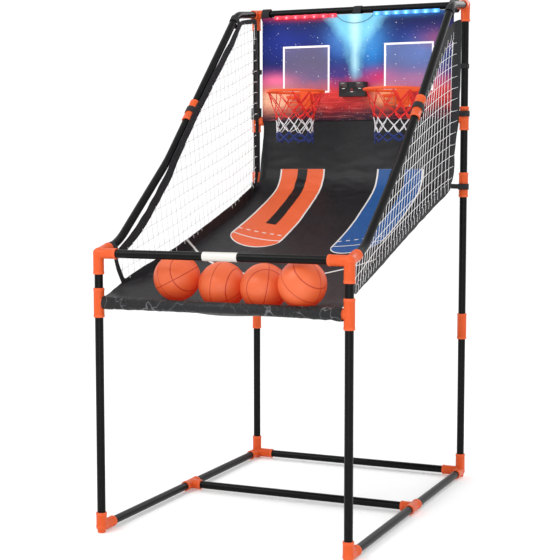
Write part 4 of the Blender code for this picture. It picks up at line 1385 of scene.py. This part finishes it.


# --------------------------------------------------------- backboard, lights
# soft glows of the print, and in the last two rows painted light that the light strips cast on the
# board: x, z, half width, half height, colour, strength
PRINT_GLOWS_AND_PAINTED_LAMP_LIGHT = (
    (0.062, 1.410, 0.050, 0.075, (22, 128, 214), 0.85),
    (-0.058, 1.440, 0.045, 0.070, (18, 74, 178), 0.7),
    (0.0, 1.458, 0.078, 0.058, (112, 188, 236), 0.6),
    (-0.270, 1.440, 0.080, 0.070, (30, 48, 140), 0.7),
    (0.225, 1.395, 0.080, 0.050, (64, 118, 200), 0.7),
    (0.285, 1.440, 0.060, 0.030, (168, 84, 124), 0.6),
    (-0.290, 1.316, 0.070, 0.024, (248, 112, 160), 0.95),
    (0.090, 1.318, 0.060, 0.028, (206, 40, 104), 0.9),
    (0.215, 1.312, 0.085, 0.026, (190, 92, 136), 0.7),
    (-0.290, 1.252, 0.080, 0.034, (255, 196, 160), 1.3),
    (0.110, 1.258, 0.048, 0.028, (255, 196, 140), 1.0),
    (-0.050, 1.262, 0.120, 0.022, (232, 66, 62), 0.9),
    # painted light: pools of the strips' red and blue light, painted on the board round each strip
    (-0.178, 1.532, 0.125, 0.014, (240, 36, 70), 0.9),
    (0.178, 1.532, 0.125, 0.014, (58, 146, 236), 0.9),
)
SQUARES = ((-0.176, (150, 138, 150)), (0.187, (140, 150, 196)))    # middle x, inner colour
SQUARE_Z = 1.352
SQUARE_HALF = (0.085, 0.079)
SQUARE_LINE = 0.0065


def printed_board():
    """Night-sky print: navy above, a pale beam, pink and red glows, white squares, with painted
    red and blue light round the light strips.
    """
    made, tree, shader = material("printed_board", 0.36)
    vector, x, _, z = object_axes(tree)
    swirl = grain(tree, vector, 6.5, 5.0, 0.6)
    cloud = grain(tree, vector, 16.0, 6.0, 0.65)
    q = (z - BOARD_LOW.z) / (BOARD_HIGH.z - BOARD_LOW.z)
    warped = q + (swirl - 0.5) * 0.17 + (cloud - 0.5) * 0.10
    ramp = tree.nodes.new("ShaderNodeValToRGB")
    stops = ((0.0, (44, 24, 42)), (0.07, (92, 32, 46)), (0.15, (190, 44, 44)),
             (0.27, (214, 56, 60)), (0.35, (176, 58, 104)), (0.43, (74, 48, 122)),
             (0.56, (24, 30, 92)), (0.78, (18, 36, 116)), (1.0, (10, 16, 58)))
    for i, (place, colour) in enumerate(stops):
        stop = ramp.color_ramp.elements[i] if i < 2 else ramp.color_ramp.elements.new(place)
        stop.position = place
        stop.color = (*srgb(*colour), 1.0)
    plug(tree, warped, ramp.inputs[0])
    shade = ramp.outputs[0]

    def glow(shade, cx, cz, wide, tall, colour, strength):
        """Add a soft glow at one place: the print's own glows and the painted light round the
        light strips both come from here.
        """
        hill = x.bump_shape(cx, wide) * z.bump_shape(cz, tall)
        hill = hill * (cloud * 0.9 + 0.55) * strength
        return tint(tree, hill.do("ADD", 0.0, clamp=True), shade, srgb(*colour))

    # the print's glows, and the painted light from the light strips
    for place in PRINT_GLOWS_AND_PAINTED_LAMP_LIGHT:
        shade = glow(shade, *place)

    strokes = grain(tree, vector, 14.0, 5.0, 0.7, (1.0, 1.0, 9.0))
    floor_band = z.below(1.268, 0.05)
    shade = tint(tree, strokes.above(0.56, 0.16) * floor_band * 0.30, shade, srgb(58, 22, 40))
    shade = tint(tree, strokes.below(0.42, 0.12) * floor_band * 0.26, shade, srgb(246, 130, 120))

    width = (z - 1.306) * 0.25
    fan = (z - 1.420).most(0.0) * 0.90
    beam = (abs(x).below((width + fan).most(0.002) * 0.7 + (cloud - 0.5) * 0.05, 0.045)
            * z.above(1.312, 0.03))
    shade = tint(tree, beam * (swirl * 0.7 + 0.50), shade, srgb(128, 210, 240))
    core = abs(x).below(width * 0.30 + (swirl - 0.5) * 0.04, 0.028) * z.above(1.330, 0.05)
    shade = tint(tree, core * 0.7, shade, srgb(206, 248, 255))

    wide, tall = SQUARE_HALF
    for cx, pale in SQUARES:
        away = abs(x - cx).most(abs(z - SQUARE_Z))
        window = abs(x - cx).below(wide, 0.001) * abs(z - SQUARE_Z).below(tall, 0.001)
        clear = (abs(x - cx).below(wide - SQUARE_LINE, 0.001)
                 * abs(z - SQUARE_Z).below(tall - SQUARE_LINE, 0.001))
        shade = tint(tree, clear * 0.36, shade, srgb(*pale))
        shade = tint(tree, (window - clear) * away.above(0.0, 0.01), shade, srgb(250, 246, 250))

    for scale, size, level in ((62.0, 0.085, 0.9), (120.0, 0.10, 0.55)):
        cells = tree.nodes.new("ShaderNodeTexVoronoi")
        cells.inputs["Scale"].default_value = scale
        tree.links.new(vector, cells.inputs["Vector"])
        spot = Term(tree, cells.outputs["Distance"]).below(size, 0.06)
        tone = tree.nodes.new("ShaderNodeSeparateColor")
        tree.links.new(cells.outputs["Color"], tone.inputs[0])
        some = Term(tree, tone.outputs[0]).above(0.55, 0.3)
        shade = tint(tree, spot * some * level, shade, (1.0, 1.0, 1.0))

    plain = -printed_side(tree) + 1.0
    shade = tint(tree, plain, shade, srgb(30, 30, 33))
    plug(tree, shade, shader.inputs["Base Color"])
    plug(tree, cloud * 0.12 + 0.30, shader.inputs["Roughness"])
    shader.inputs["Coat Weight"].default_value = 0.06
    shader.inputs["Coat Roughness"].default_value = 0.25
    shader.inputs["Specular IOR Level"].default_value = 0.16
    ripple = grain(tree, vector, 9.0, 2.0)
    bump(tree, shader, ripple, 0.004, 0.35)
    return made


def build_backboard():
    """Print and painted strip light on the board, which keeps its frame shape."""
    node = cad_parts["backboard"]
    node.data.materials.clear()
    node.data.materials.append(printed_board())


def lamp_shape():
    """One faceted lens, its base on the origin and facing -Y."""
    bm = bmesh.new()
    turned(bm, [(0.0, 0.0), (0.0050, 0.0), (0.0050, 0.0010), (0.0045, 0.0020), (0.0037, 0.0034),
                (0.0022, 0.0044), (0.0, 0.0048)], (0, 0, 0), (0, -1, 0), 14)
    item = mesh_from("lamp_shape", bm)
    item.data.shade_smooth()
    return item


def build_lights(settings):
    """Two light strips with a row of lenses each, and the lead between them."""
    lens = lamp_shape()
    looks = (("left", -1, (255, 46, 70), "led_red"), ("right", 1, (84, 176, 255), "led_blue"))
    for label, side, colour, slot in looks:
        low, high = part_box("led_strip_" + label)
        if side < 0:
            high.x = -0.065        # the lead hangs past the strip itself
        clip = bmesh.new()
        front = high.y - 0.0048
        rounded_box(clip, (low.x, front, STRIP_Z[0]), (high.x, high.y, STRIP_Z[1]), 0.0010)
        shell = mesh_from("light_strip_" + label, clip)
        body = moulded("strip_body_" + label, srgb(30, 28, 32), 0.3)
        tree = body.node_tree
        wave = ((object_axes(tree)[1] - side * STRIP_X) * (2 * math.pi / LAMP_STEP)).do("COSINE")
        shader = tree.nodes["Principled BSDF"]
        shader.inputs["Emission Color"].default_value = (*srgb(*colour), 1.0)
        plug(tree, (wave * 0.30 + 0.70) * settings.strip_glow, shader.inputs["Emission Strength"])
        settle(shell, body, "frame", slot, "led_strip_" + label)
        spots = [[(side * STRIP_X + (i - LAMP_COUNT // 2) * LAMP_STEP, front + 0.0002, LAMP_Z)]
                 for i in range(LAMP_COUNT)]
        lamps = wire_mesh("lamps_" + label, spots)
        glow = glowing("lamp_glow_" + label, srgb(*colour), settings.lamp_strength,
                       side * STRIP_X)
        with_group(lamps, copies_group(), copied=lens, size=1.0, material=glow)
        settle(lamps, None, "frame", slot, angle=180)
    drop(lens)
    span = [(-0.0670, 1.5285), (-0.052, 1.5150), (-0.030, 1.5045), (0.0, 1.5005),
            (0.030, 1.5045), (0.052, 1.5150), (0.0670, 1.5285)]
    path = smooth_path([(x, BOARD_LOW.y - 0.0016, z) for x, z in span], 6)
    lead = mesh_from("light_lead", sweep("light_lead", [path], 0.0007, 2))
    settle(lead, cord_finish("black_lead", srgb(26, 26, 30), 0.5), "frame", "led_red")


# ---------------------------------------------------------------------- hoops
def build_hoop(label, side, settings, finish):
    """Ring, bracket, wall plate, net hooks and hinge pin."""
    x = side * HOOP_X
    turns = [2 * math.pi * i / RING_STEPS for i in range(RING_STEPS)]
    ring = [(x + HOOP_R * math.sin(turn), HOOP_Y + HOOP_R * math.cos(turn), HOOP_Z)
            for turn in turns]
    bm = sweep("hoop", [ring], HOOP_WIRE_R, 4, closed=True)
    mesh = bpy.data.meshes.new("ring")
    bm.to_mesh(mesh)
    bm.free()
    item = new_object("hoop_finish_" + label, mesh)
    parts = bmesh.new()
    face = BOARD_LOW.y - 0.0004
    rounded_box(parts, (x - 0.026, face - 0.004, HOOP_Z - 0.0535),
                (x + 0.026, face, HOOP_Z + 0.012), 0.0012)
    bracket_rows = ((HOOP_Z + 0.0055, 0.0215, 0.4905), (HOOP_Z - 0.004, 0.0210, 0.4915),
                    (HOOP_Z - 0.024, 0.0185, 0.4955), (HOOP_Z - 0.042, 0.0150, 0.5005))
    loops = []
    for z, half, front in bracket_rows:
        loops.append([parts.verts.new((x - half, front + 0.0010, z)),
                      parts.verts.new((x - half + 0.0016, front, z)),
                      parts.verts.new((x + half - 0.0016, front, z)),
                      parts.verts.new((x + half, front + 0.0010, z)),
                      parts.verts.new((x + half, face - 0.002, z)),
                      parts.verts.new((x - half, face - 0.002, z))])
    for first, second in zip(loops, loops[1:]):
        for i in range(6):
            j = (i + 1) % 6
            parts.faces.new((first[i], second[i], second[j], first[j]))
    parts.faces.new(loops[0])
    parts.faces.new(list(reversed(loops[-1])))
    pin_z = HOOP_Z - PIN_DROP
    turned(parts, [(0, 0), (0.0020, 0), (0.0020, 0.0600), (0, 0.0600)],
           (x - 0.010, PIN_Y, pin_z), (-1, 0, 0), 16)
    turned(parts, [(0, 0), (0.0034, 0), (0.0036, 0.0004), (0.0036, 0.0019), (0.0030, 0.0025),
                   (0, 0.0025)], (x - 0.0680, PIN_Y, pin_z), (-1, 0, 0), 16)
    for i in range(settings.net_cells):
        turn = 2 * math.pi * (i + 0.5) / settings.net_cells
        spoke = Vector((math.sin(turn), math.cos(turn), 0))
        start = Vector((x, HOOP_Y, HOOP_Z)) + spoke * (HOOP_R - HOOP_WIRE_R * 0.4)
        turned(parts, [(0, 0), (0.0017, 0), (0.0017, 0.0040), (0.0026, 0.0058), (0.0020, 0.0072),
                       (0, 0.0072)], start + Vector((0, 0, 0.0010)),
               -spoke * 0.35 + Vector((0, 0, -1)), 10)
    rest = mesh_from("hoop_parts_" + label, parts)
    join = item.modifiers.new("join", "BOOLEAN")
    join.operation = "UNION"
    join.solver = "EXACT"
    join.use_self = True
    join.object = rest
    settle(item, finish, "frame", "orange_hoop", "hoop_" + label, angle=40)
    drop(rest)


def build_screws(steel):
    """Pan-head screws through each hoop's wall plate."""
    head = bmesh.new()
    turned(head, [(0, 0.0), (0.0034, 0.0), (0.0034, 0.0008), (0.0027, 0.0018), (0.0012, 0.0022),
                  (0.0009, 0.0012), (0, 0.0012)], (0, 0, 0), (0, -1, 0), 16)
    shape = mesh_from("screw_shape", head)
    shape.data.shade_smooth()
    places = []
    front = BOARD_LOW.y - 0.0044
    for _, side in SIDES:
        for dx, dz in ((-0.0225, 0.0085), (0.0225, 0.0085), (-0.0215, -0.0490), (0.0215, -0.0490)):
            places.append([(side * HOOP_X + dx, front + 0.0002, HOOP_Z + dz)])
    item = wire_mesh("hoop_screws", places)
    with_group(item, copies_group(), copied=shape, size=1.0, material=steel)
    settle(item, None, "frame", "orange_hoop", angle=40)
    drop(shape)


def build_flap(label, finish):
    """Scoring flap with rounded edges, hung on the bracket's pin."""
    item = softened("scoring_flap_" + label, "scoring_flap_finish_" + label, 0.0005)
    settle(item, finish, "flap_" + label, "orange_hoop", "scoring_flap_" + label, angle=40)


def softened(node, name, width):
    """A welded copy of a frame node with its edges rounded."""
    bm = bmesh.new()
    bm.from_mesh(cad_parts[node].data)
    bmesh.ops.remove_doubles(bm, verts=bm.verts, dist=2e-6)
    bmesh.ops.dissolve_limit(bm, angle_limit=math.radians(1.0), verts=bm.verts, edges=bm.edges)
    item = mesh_from(name, bm, recalc=False)
    edge = item.modifiers.new("edges", "BEVEL")
    edge.width = width
    edge.segments = 2
    edge.limit_method = "ANGLE"
    edge.angle_limit = math.radians(40)
    return item


def dyed_cord(name, colour):
    """Fuzzy twisted cord of the hoop nets in one dye."""
    made, tree, shader = material(name, 0.6)
    vector, across, along, up = object_axes(tree)
    fuzz = grain(tree, vector, 600.0, 3.0)
    strands = ((up + across * 0.7 + along * 0.7) * 3000.0).do("SINE")
    dark = tuple(c * 0.55 for c in colour)
    plug(tree, tint(tree, fuzz * 0.35 + strands * 0.1 + 0.1, colour, dark),
         shader.inputs["Base Color"])
    shader.inputs["Sheen Weight"].default_value = 0.05
    bump(tree, shader, strands + fuzz, 0.0002, 0.6)
    return made


# drop below the ring and radius of each row of knots, and the dye of the cords below it
HOOP_NET_ROWS = (
    (0.0035, 0.0920, 0), (0.046, 0.0765, 0), (0.071, 0.0670, 0), (0.092, 0.0630, 1),
    (0.115, 0.0615, 1), (0.138, 0.0605, 2), (0.152, 0.0605, 2), (0.166, 0.0600, 2))
HOOP_DYES = (("red", (246, 34, 24), 0.0015), ("white", (246, 246, 248), 0.0016),
             ("blue", (16, 46, 124), 0.0022))


def build_hoop_net(label, side, settings, finishes):
    """Net of diamond meshes that narrows to a sleeve below the ring."""
    x = side * HOOP_X
    count = settings.net_cells
    draw = random.Random(5 + side)
    grid = []
    for number, (fall, radius, _) in enumerate(HOOP_NET_ROWS):
        ring = []
        for i in range(count):
            slack = 0.0 if number == 0 else 1.0
            turn = 2 * math.pi * (i + 0.5 * ((number + 1) % 2)) / count
            turn += slack * draw.uniform(-0.07, 0.07)
            wide = radius + slack * draw.uniform(-0.0015, 0.0015)
            low = fall + slack * draw.uniform(-0.004, 0.004)
            ring.append(Vector((x + wide * math.sin(turn), HOOP_Y + wide * math.cos(turn),
                                HOOP_Z - low)))
        grid.append(ring)
    dyed = ([], [], [])
    for number in range(len(grid) - 1):
        dye = HOOP_NET_ROWS[number][2]
        for i in range(count):
            top = grid[number][i]
            step = (0, 1) if (number + 1) % 2 else (0, -1)
            for k in step:
                low = grid[number + 1][(i + k) % count]
                half = top.lerp(low, 0.5)
                inward = (Vector((x, HOOP_Y, half.z)) - half).normalized()
                half += inward * 0.0012 + Vector((0, 0, -0.0010))
                dyed[dye].append([top, half, low])
                if dye == 0 and half.x > x + 0.3 * HOOP_R:
                    for _ in range(3):      # the slack side hangs in a bunch
                        drift = inward.cross(Vector((0, 0, 1))) * draw.uniform(-0.007, 0.007)
                        dyed[0].append([top, half + drift, low + drift * 0.6])
    for (dye, _, radius), chains, finish in zip(HOOP_DYES, dyed, finishes):
        item = wire_mesh("hoop_net_%s_%s" % (dye, label), chains)
        with_group(item, cord_group(), cord_radius=radius * settings.net_cord_share,
                   knot_radius=radius * 1.35 * settings.net_cord_share, cord_sides=6,
                   material=finish)
        nodes = ("hoop_net_" + label,) if dye == "red" else ()
        settle(item, None, "frame", "hoop_net", *nodes, angle=180)


# ----------------------------------------------------------------- scoreboard
def build_scoreboard():
    """Scoreboard case, battery door, circuit, start button and display windows."""
    shell = moulded("case_moulding", srgb(26, 25, 27), 0.34)
    case = softened("scoreboard_case", "scoreboard_case_finish", 0.0008)
    settle(case, shell, "frame", "black_case", "scoreboard_case", angle=40)
    door = softened("battery_door", "battery_door_finish", 0.0003)
    settle(door, shell, "door", "black_case", "battery_door", angle=40)
    cap = softened("start_button", "start_button_finish", 0.0003)
    settle(cap, moulded("button_moulding", srgb(120, 26, 30), 0.3), "button", "white_button",
           "start_button", angle=40)
    green = moulded("circuit_finish", srgb(24, 92, 44), 0.35)
    board = softened("circuit_board", "circuit_board_finish", 0.0002)
    settle(board, green, "frame", "circuit", "circuit_board", angle=40)

    glass, tree, shader = material("display_window", 0.12)
    vector, *_ = object_axes(tree)
    smear = grain(tree, vector, 160.0, 3.0)
    plug(tree, tint(tree, smear, srgb(34, 6, 10), srgb(52, 10, 14)),
         shader.inputs["Base Color"])
    plug(tree, smear * 0.12 + 0.08, shader.inputs["Roughness"])
    shader.inputs["Coat Weight"].default_value = 0.6
    lit, tree, shader = material("display_mark", 0.4)
    shade = tint(tree, grain(tree, object_axes(tree)[0], 300.0), srgb(225, 228, 230),
                 srgb(250, 250, 250))
    plug(tree, shade, shader.inputs["Base Color"])
    plug(tree, shade, shader.inputs["Emission Color"])
    shader.inputs["Emission Strength"].default_value = 0.35
    low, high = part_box("scoreboard_case")
    front = low.y
    panes = bmesh.new()
    marks = bmesh.new()
    for sign in (-1, 1):
        cx = sign * 0.0285
        rounded_box(panes, (cx - 0.0118, front - 0.0005, high.z - 0.0172),
                    (cx + 0.0118, front + 0.0006, high.z - 0.0032), 0.0005, 2)
        rounded_box(marks, (cx - 0.0050, front - 0.0002, high.z - 0.0215 - 0.0012),
                    (cx + 0.0050, front + 0.0052, high.z - 0.0215), 0.0003, 1)
    rounded_box(marks, (-0.0045, front + 0.0040, high.z - 0.0330), (0.0045, front + 0.0048,
                high.z - 0.0316), 0.0003, 1)
    settle(mesh_from("display_panes", panes), glass, "frame", "black_case")
    settle(mesh_from("display_marks", marks), lit, "frame", "black_case")


# ---------------------------------------------------------------------- balls
BALL_TURNS = ((20, -20, -25), (40, 5, -5), (80, 0, -60), (90, -45, -20))     # degrees
OVAL = 0.62                 # cosine of the oval seams' distance from the poles
BALL_ROWS = 44              # rows of faces from pole to pole, before those along the seams


def seam_distance(x, z):
    """Distance to the nearest seam for a point on the unit ball."""
    return min(abs(x), abs(z), abs(abs(x) - OVAL))


def ball_rubber(settings):
    """Pebbled rubber, darker along the seams, with a faint painted red glow."""
    made, tree, shader = material("pebbled_rubber", 0.42)
    vector, *_ = object_axes(tree)
    axes = tree.nodes.new("ShaderNodeAttribute")
    axes.attribute_name = "ball_axes"
    split = tree.nodes.new("ShaderNodeSeparateXYZ")
    tree.links.new(axes.outputs["Vector"], split.inputs[0])
    x, z = Term(tree, split.outputs[0]), Term(tree, split.outputs[2])
    far = abs(x).least(abs(z)).least(abs(abs(x) - OVAL)) * BALL_R
    seam = far.below(settings.seam_width * 0.5, 0.0009)
    cells = tree.nodes.new("ShaderNodeTexVoronoi")
    cells.inputs["Scale"].default_value = 620.0
    tree.links.new(vector, cells.inputs["Vector"])
    pebble = -Term(tree, cells.outputs["Distance"])
    worn = grain(tree, vector, 22.0, 4.0)
    base = tuple(settings.colour)
    bright = tuple(min(1.0, c * 1.07) for c in base)
    shade = tint(tree, worn, tuple(c * 0.86 for c in base), bright)
    shade = tint(tree, seam * 0.9, shade, srgb(104, 24, 14))
    plug(tree, shade, shader.inputs["Base Color"])
    plug(tree, worn * 0.12 + 0.34, shader.inputs["Roughness"])
    shader.inputs["Specular IOR Level"].default_value = 0.35
    # painted glow: the rubber emits a faint red light, though a ball is no lamp
    shader.inputs["Emission Color"].default_value = (1.0, 0.02, 0.005, 1.0)
    shader.inputs["Emission Strength"].default_value = 0.26
    bump(tree, shader, pebble * far.above(settings.seam_width * 0.6, 0.001), 0.0005, 0.35)
    return made


def build_balls(settings):
    """Four balls with grooved seams, turned every which way."""
    finish = ball_rubber(settings)
    half = settings.seam_width / 2 / BALL_R
    marks = (-half * 1.6, -half, -half * 0.5, 0.0, half * 0.5, half, half * 1.6)
    rows = sorted({round(math.asin(max(-1.0, min(1.0, s + m))), 5)
                   for s in (0.0, OVAL, -OVAL) for m in marks}
                  | {round(math.pi * i / BALL_ROWS - math.pi / 2, 5)
                     for i in range(1, BALL_ROWS)})
    spread = {round(math.pi * i / BALL_ROWS, 5) for i in range(2 * BALL_ROWS)}
    spread |= {round((base + m) % (2 * math.pi), 5) for base in (0.0, math.pi) for m in marks}
    turns = sorted(spread)
    for number, angles in enumerate(BALL_TURNS, start=1):
        centre = middle("ball_%d" % number)
        spin = Euler([math.radians(angle) for angle in angles]).to_matrix()
        bm = bmesh.new()
        layer = bm.verts.layers.float_vector.new("ball_axes")

        def point(x, y, z):
            """One point of the skin, sunk where it lies in a seam."""
            near = seam_distance(x, z) * BALL_R
            sink = max(0.0, 1.0 - (near / (settings.seam_width * 0.5)) ** 2)
            local = Vector((x, y, z))
            vert = bm.verts.new(centre + spin @ local * (BALL_R - settings.seam_depth * sink))
            vert[layer] = local
            return vert

        rings = []
        for lat in rows:
            rings.append([point(math.sin(lat), math.cos(lat) * math.cos(t),
                                math.cos(lat) * math.sin(t)) for t in turns])
        first, last = point(-1, 0, 0), point(1, 0, 0)
        count = len(turns)
        for i in range(count):
            j = (i + 1) % count
            bm.faces.new((first, rings[0][j], rings[0][i]))
            bm.faces.new((last, rings[-1][i], rings[-1][j]))
            for low, high in zip(rings, rings[1:]):
                bm.faces.new((low[i], low[j], high[j], high[i]))
        item = mesh_from("ball_skin_%d" % number, bm)
        settle(item, finish, "ball_body_%d" % number, "ball_rubber", "ball_%d" % number,
               angle=180)


# ---------------------------------------------------------------------- stage
def build_stage():
    """Camera, pale floor and soft lights."""
    scene = bpy.context.scene
    lens = bpy.data.cameras.new("camera")
    lens.lens = 85.6
    lens.clip_end = 60
    camera = bpy.data.objects.new("camera", lens)
    camera.location = (1.550, -3.703, 1.029)
    camera.rotation_euler = (math.radians(85.08), math.radians(0.0), math.radians(23.40))
    scene.collection.objects.link(camera)
    scene.camera = camera
    bm = bmesh.new()
    bmesh.ops.create_grid(bm, x_segments=1, y_segments=1, size=40)
    floor = mesh_from("studio_floor", bm)
    made, tree, shader = material("pale_floor", 0.9)
    vector, *_ = object_axes(tree)
    plug(tree, tint(tree, grain(tree, vector, 2.0, 3.0), (0.86, 0.86, 0.86), (0.90, 0.90, 0.90)),
         shader.inputs["Base Color"])
    shader.inputs["Specular IOR Level"].default_value = 0.1
    shader.inputs["Emission Color"].default_value = (1.0, 1.0, 1.0, 1.0)
    shader.inputs["Emission Strength"].default_value = 0.14
    floor.data.materials.append(made)
    floor.location.z = -0.0005
    world = bpy.data.worlds.new("studio")
    scene.world = world
    world.use_nodes = True
    sky = world.node_tree.nodes["Background"]
    sky.inputs["Color"].default_value = (1.0, 1.0, 1.0, 1.0)
    sky.inputs["Strength"].default_value = 1.05
    scene.view_settings.view_transform = "Standard"
    for name, place, aim, size, power in (
            ("key", (-1.6, -2.6, 3.2), (0.0, 0.0, 0.9), 1.6, 48.0),
            ("fill", (2.6, -2.2, 1.6), (0.0, 0.0, 0.8), 2.0, 12.0),
            ("low", (0.8, -3.0, 0.35), (0.0, -0.4, 0.7), 1.2, 14.0),
            ("rim", (1.0, 3.0, 2.6), (0.0, 0.2, 1.0), 1.6, 22.0)):
        data = bpy.data.lights.new(name, "AREA")
        data.size = size
        data.energy = power
        lamp = bpy.data.objects.new(name, data)
        lamp.location = place
        lamp.rotation_euler = (Vector(aim) - Vector(place)).to_track_quat("-Z", "Y").to_euler()
        scene.collection.objects.link(lamp)


# ------------------------------------------------------------------ operators
class HOOP_OT_stage(bpy.types.Operator):
    """Set up the camera, the floor and the lights"""
    bl_idname = "hoop.stage"
    bl_label = "Stage"

    def execute(self, context):
        build_stage()
        return {"FINISHED"}


class HOOP_OT_tubes(bpy.types.Operator):
    """Build the coated tubes of the frame"""
    bl_idname = "hoop.tubes"
    bl_label = "Tubes"

    def execute(self, context):
        build_tubes(context.scene.hoop_frame)
        return {"FINISHED"}


class HOOP_OT_fittings(bpy.types.Operator):
    """Build the push-fit fittings"""
    bl_idname = "hoop.fittings"
    bl_label = "Fittings"

    def execute(self, context):
        build_fittings(context.scene.hoop_frame)
        return {"FINISHED"}


class HOOP_OT_straps(bpy.types.Operator):
    """Wrap the straps and stick on the plain label"""
    bl_idname = "hoop.straps"
    bl_label = "Straps"

    def execute(self, context):
        build_straps(context.scene.hoop_frame)
        return {"FINISHED"}


class HOOP_OT_ramp(bpy.types.Operator):
    """Hang the printed ramp cloth"""
    bl_idname = "hoop.ramp"
    bl_label = "Ramp"

    def execute(self, context):
        build_ramp(context.scene.hoop_cloth)
        return {"FINISHED"}


class HOOP_OT_side_nets(bpy.types.Operator):
    """Hang the two side nets with their tapes and ties"""
    bl_idname = "hoop.side_nets"
    bl_label = "Side Nets"

    def execute(self, context):
        settings = context.scene.hoop_cloth
        cord = cord_finish("net_cord", srgb(248, 248, 248))
        tape = webbing("net_tape", tuple(c * 0.9 for c in settings.cloth_colour))
        for label, side in SIDES:
            build_side_net(label, side, settings, cord, tape)
            build_net_ties(label, side, tape)
        return {"FINISHED"}


class HOOP_OT_backboard(bpy.types.Operator):
    """Print the backboard with painted light from the strips, and fit the light strips"""
    bl_idname = "hoop.backboard"
    bl_label = "Backboard"

    def execute(self, context):
        build_backboard()
        build_lights(context.scene.hoop_goal)
        return {"FINISHED"}


class HOOP_OT_hoops(bpy.types.Operator):
    """Build the hoops, their screws, scoring flaps and nets"""
    bl_idname = "hoop.hoops"
    bl_label = "Hoops"

    def execute(self, context):
        settings = context.scene.hoop_goal
        plastic = moulded("hoop_moulding", tuple(settings.hoop_colour), 0.34)
        # painted glow: the hoop plastic emits a faint orange light, though it is no lamp
        bright = plastic.node_tree.nodes["Principled BSDF"]
        bright.inputs["Emission Color"].default_value = (1.0, 0.12, 0.01, 1.0)
        bright.inputs["Emission Strength"].default_value = 0.16
        dyes = [dyed_cord("hoop_net_" + name, srgb(*colour)) for name, colour, _ in HOOP_DYES]
        steel, tree, shader = material("screw_steel", 0.3)
        vector, *_ = object_axes(tree)
        plug(tree, tint(tree, grain(tree, vector, 400.0), (0.35, 0.35, 0.36), (0.6, 0.6, 0.6)),
             shader.inputs["Base Color"])
        shader.inputs["Metallic"].default_value = 1.0
        for label, side in SIDES:
            build_hoop(label, side, settings, plastic)
            build_flap(label, plastic)
            build_hoop_net(label, side, settings, dyes)
        build_screws(steel)
        return {"FINISHED"}


class HOOP_OT_scoreboard(bpy.types.Operator):
    """Build the scoreboard"""
    bl_idname = "hoop.scoreboard"
    bl_label = "Scoreboard"

    def execute(self, context):
        build_scoreboard()
        return {"FINISHED"}


class HOOP_OT_balls(bpy.types.Operator):
    """Build the balls in the trough"""
    bl_idname = "hoop.balls"
    bl_label = "Balls"

    def execute(self, context):
        build_balls(context.scene.hoop_ball)
        return {"FINISHED"}


OPERATORS = (HOOP_OT_stage, HOOP_OT_tubes, HOOP_OT_fittings, HOOP_OT_straps, HOOP_OT_ramp,
             HOOP_OT_side_nets, HOOP_OT_backboard, HOOP_OT_hoops, HOOP_OT_scoreboard,
             HOOP_OT_balls)
SETTINGS = (("hoop_frame", HoopFrameSettings), ("hoop_cloth", HoopClothSettings),
            ("hoop_ball", HoopBallSettings), ("hoop_goal", HoopGoalSettings))


class HOOP_PT_panel(bpy.types.Panel):
    """Sizes, colours and build steps of the hoop machine"""
    bl_label = "Hoop Machine"
    bl_idname = "HOOP_PT_panel"
    bl_space_type = "VIEW_3D"
    bl_region_type = "UI"
    bl_category = "Hoop Machine"

    def draw(self, context):
        for name, group in SETTINGS:
            box = self.layout.box()
            for prop in group.__annotations__:
                box.prop(getattr(context.scene, name), prop)
        for operator in OPERATORS:
            self.layout.operator(operator.bl_idname)


def register():
    """Add the settings, operators and panel to Blender."""
    for name, group in SETTINGS:
        bpy.utils.register_class(group)
        setattr(bpy.types.Scene, name, PointerProperty(type=group))
    for operator in OPERATORS:
        bpy.utils.register_class(operator)
    bpy.utils.register_class(HOOP_PT_panel)


def unregister():
    """Take the settings, operators and panel away again."""
    bpy.utils.unregister_class(HOOP_PT_panel)
    for operator in reversed(OPERATORS):
        bpy.utils.unregister_class(operator)
    for name, group in reversed(SETTINGS):
        delattr(bpy.types.Scene, name)
        bpy.utils.unregister_class(group)


def main():
    """Build every piece."""
    register()
    for operator in OPERATORS:
        family, name = operator.bl_idname.split(".")
        getattr(getattr(bpy.ops, family), name)()


if __name__ == "__main__":
    main()
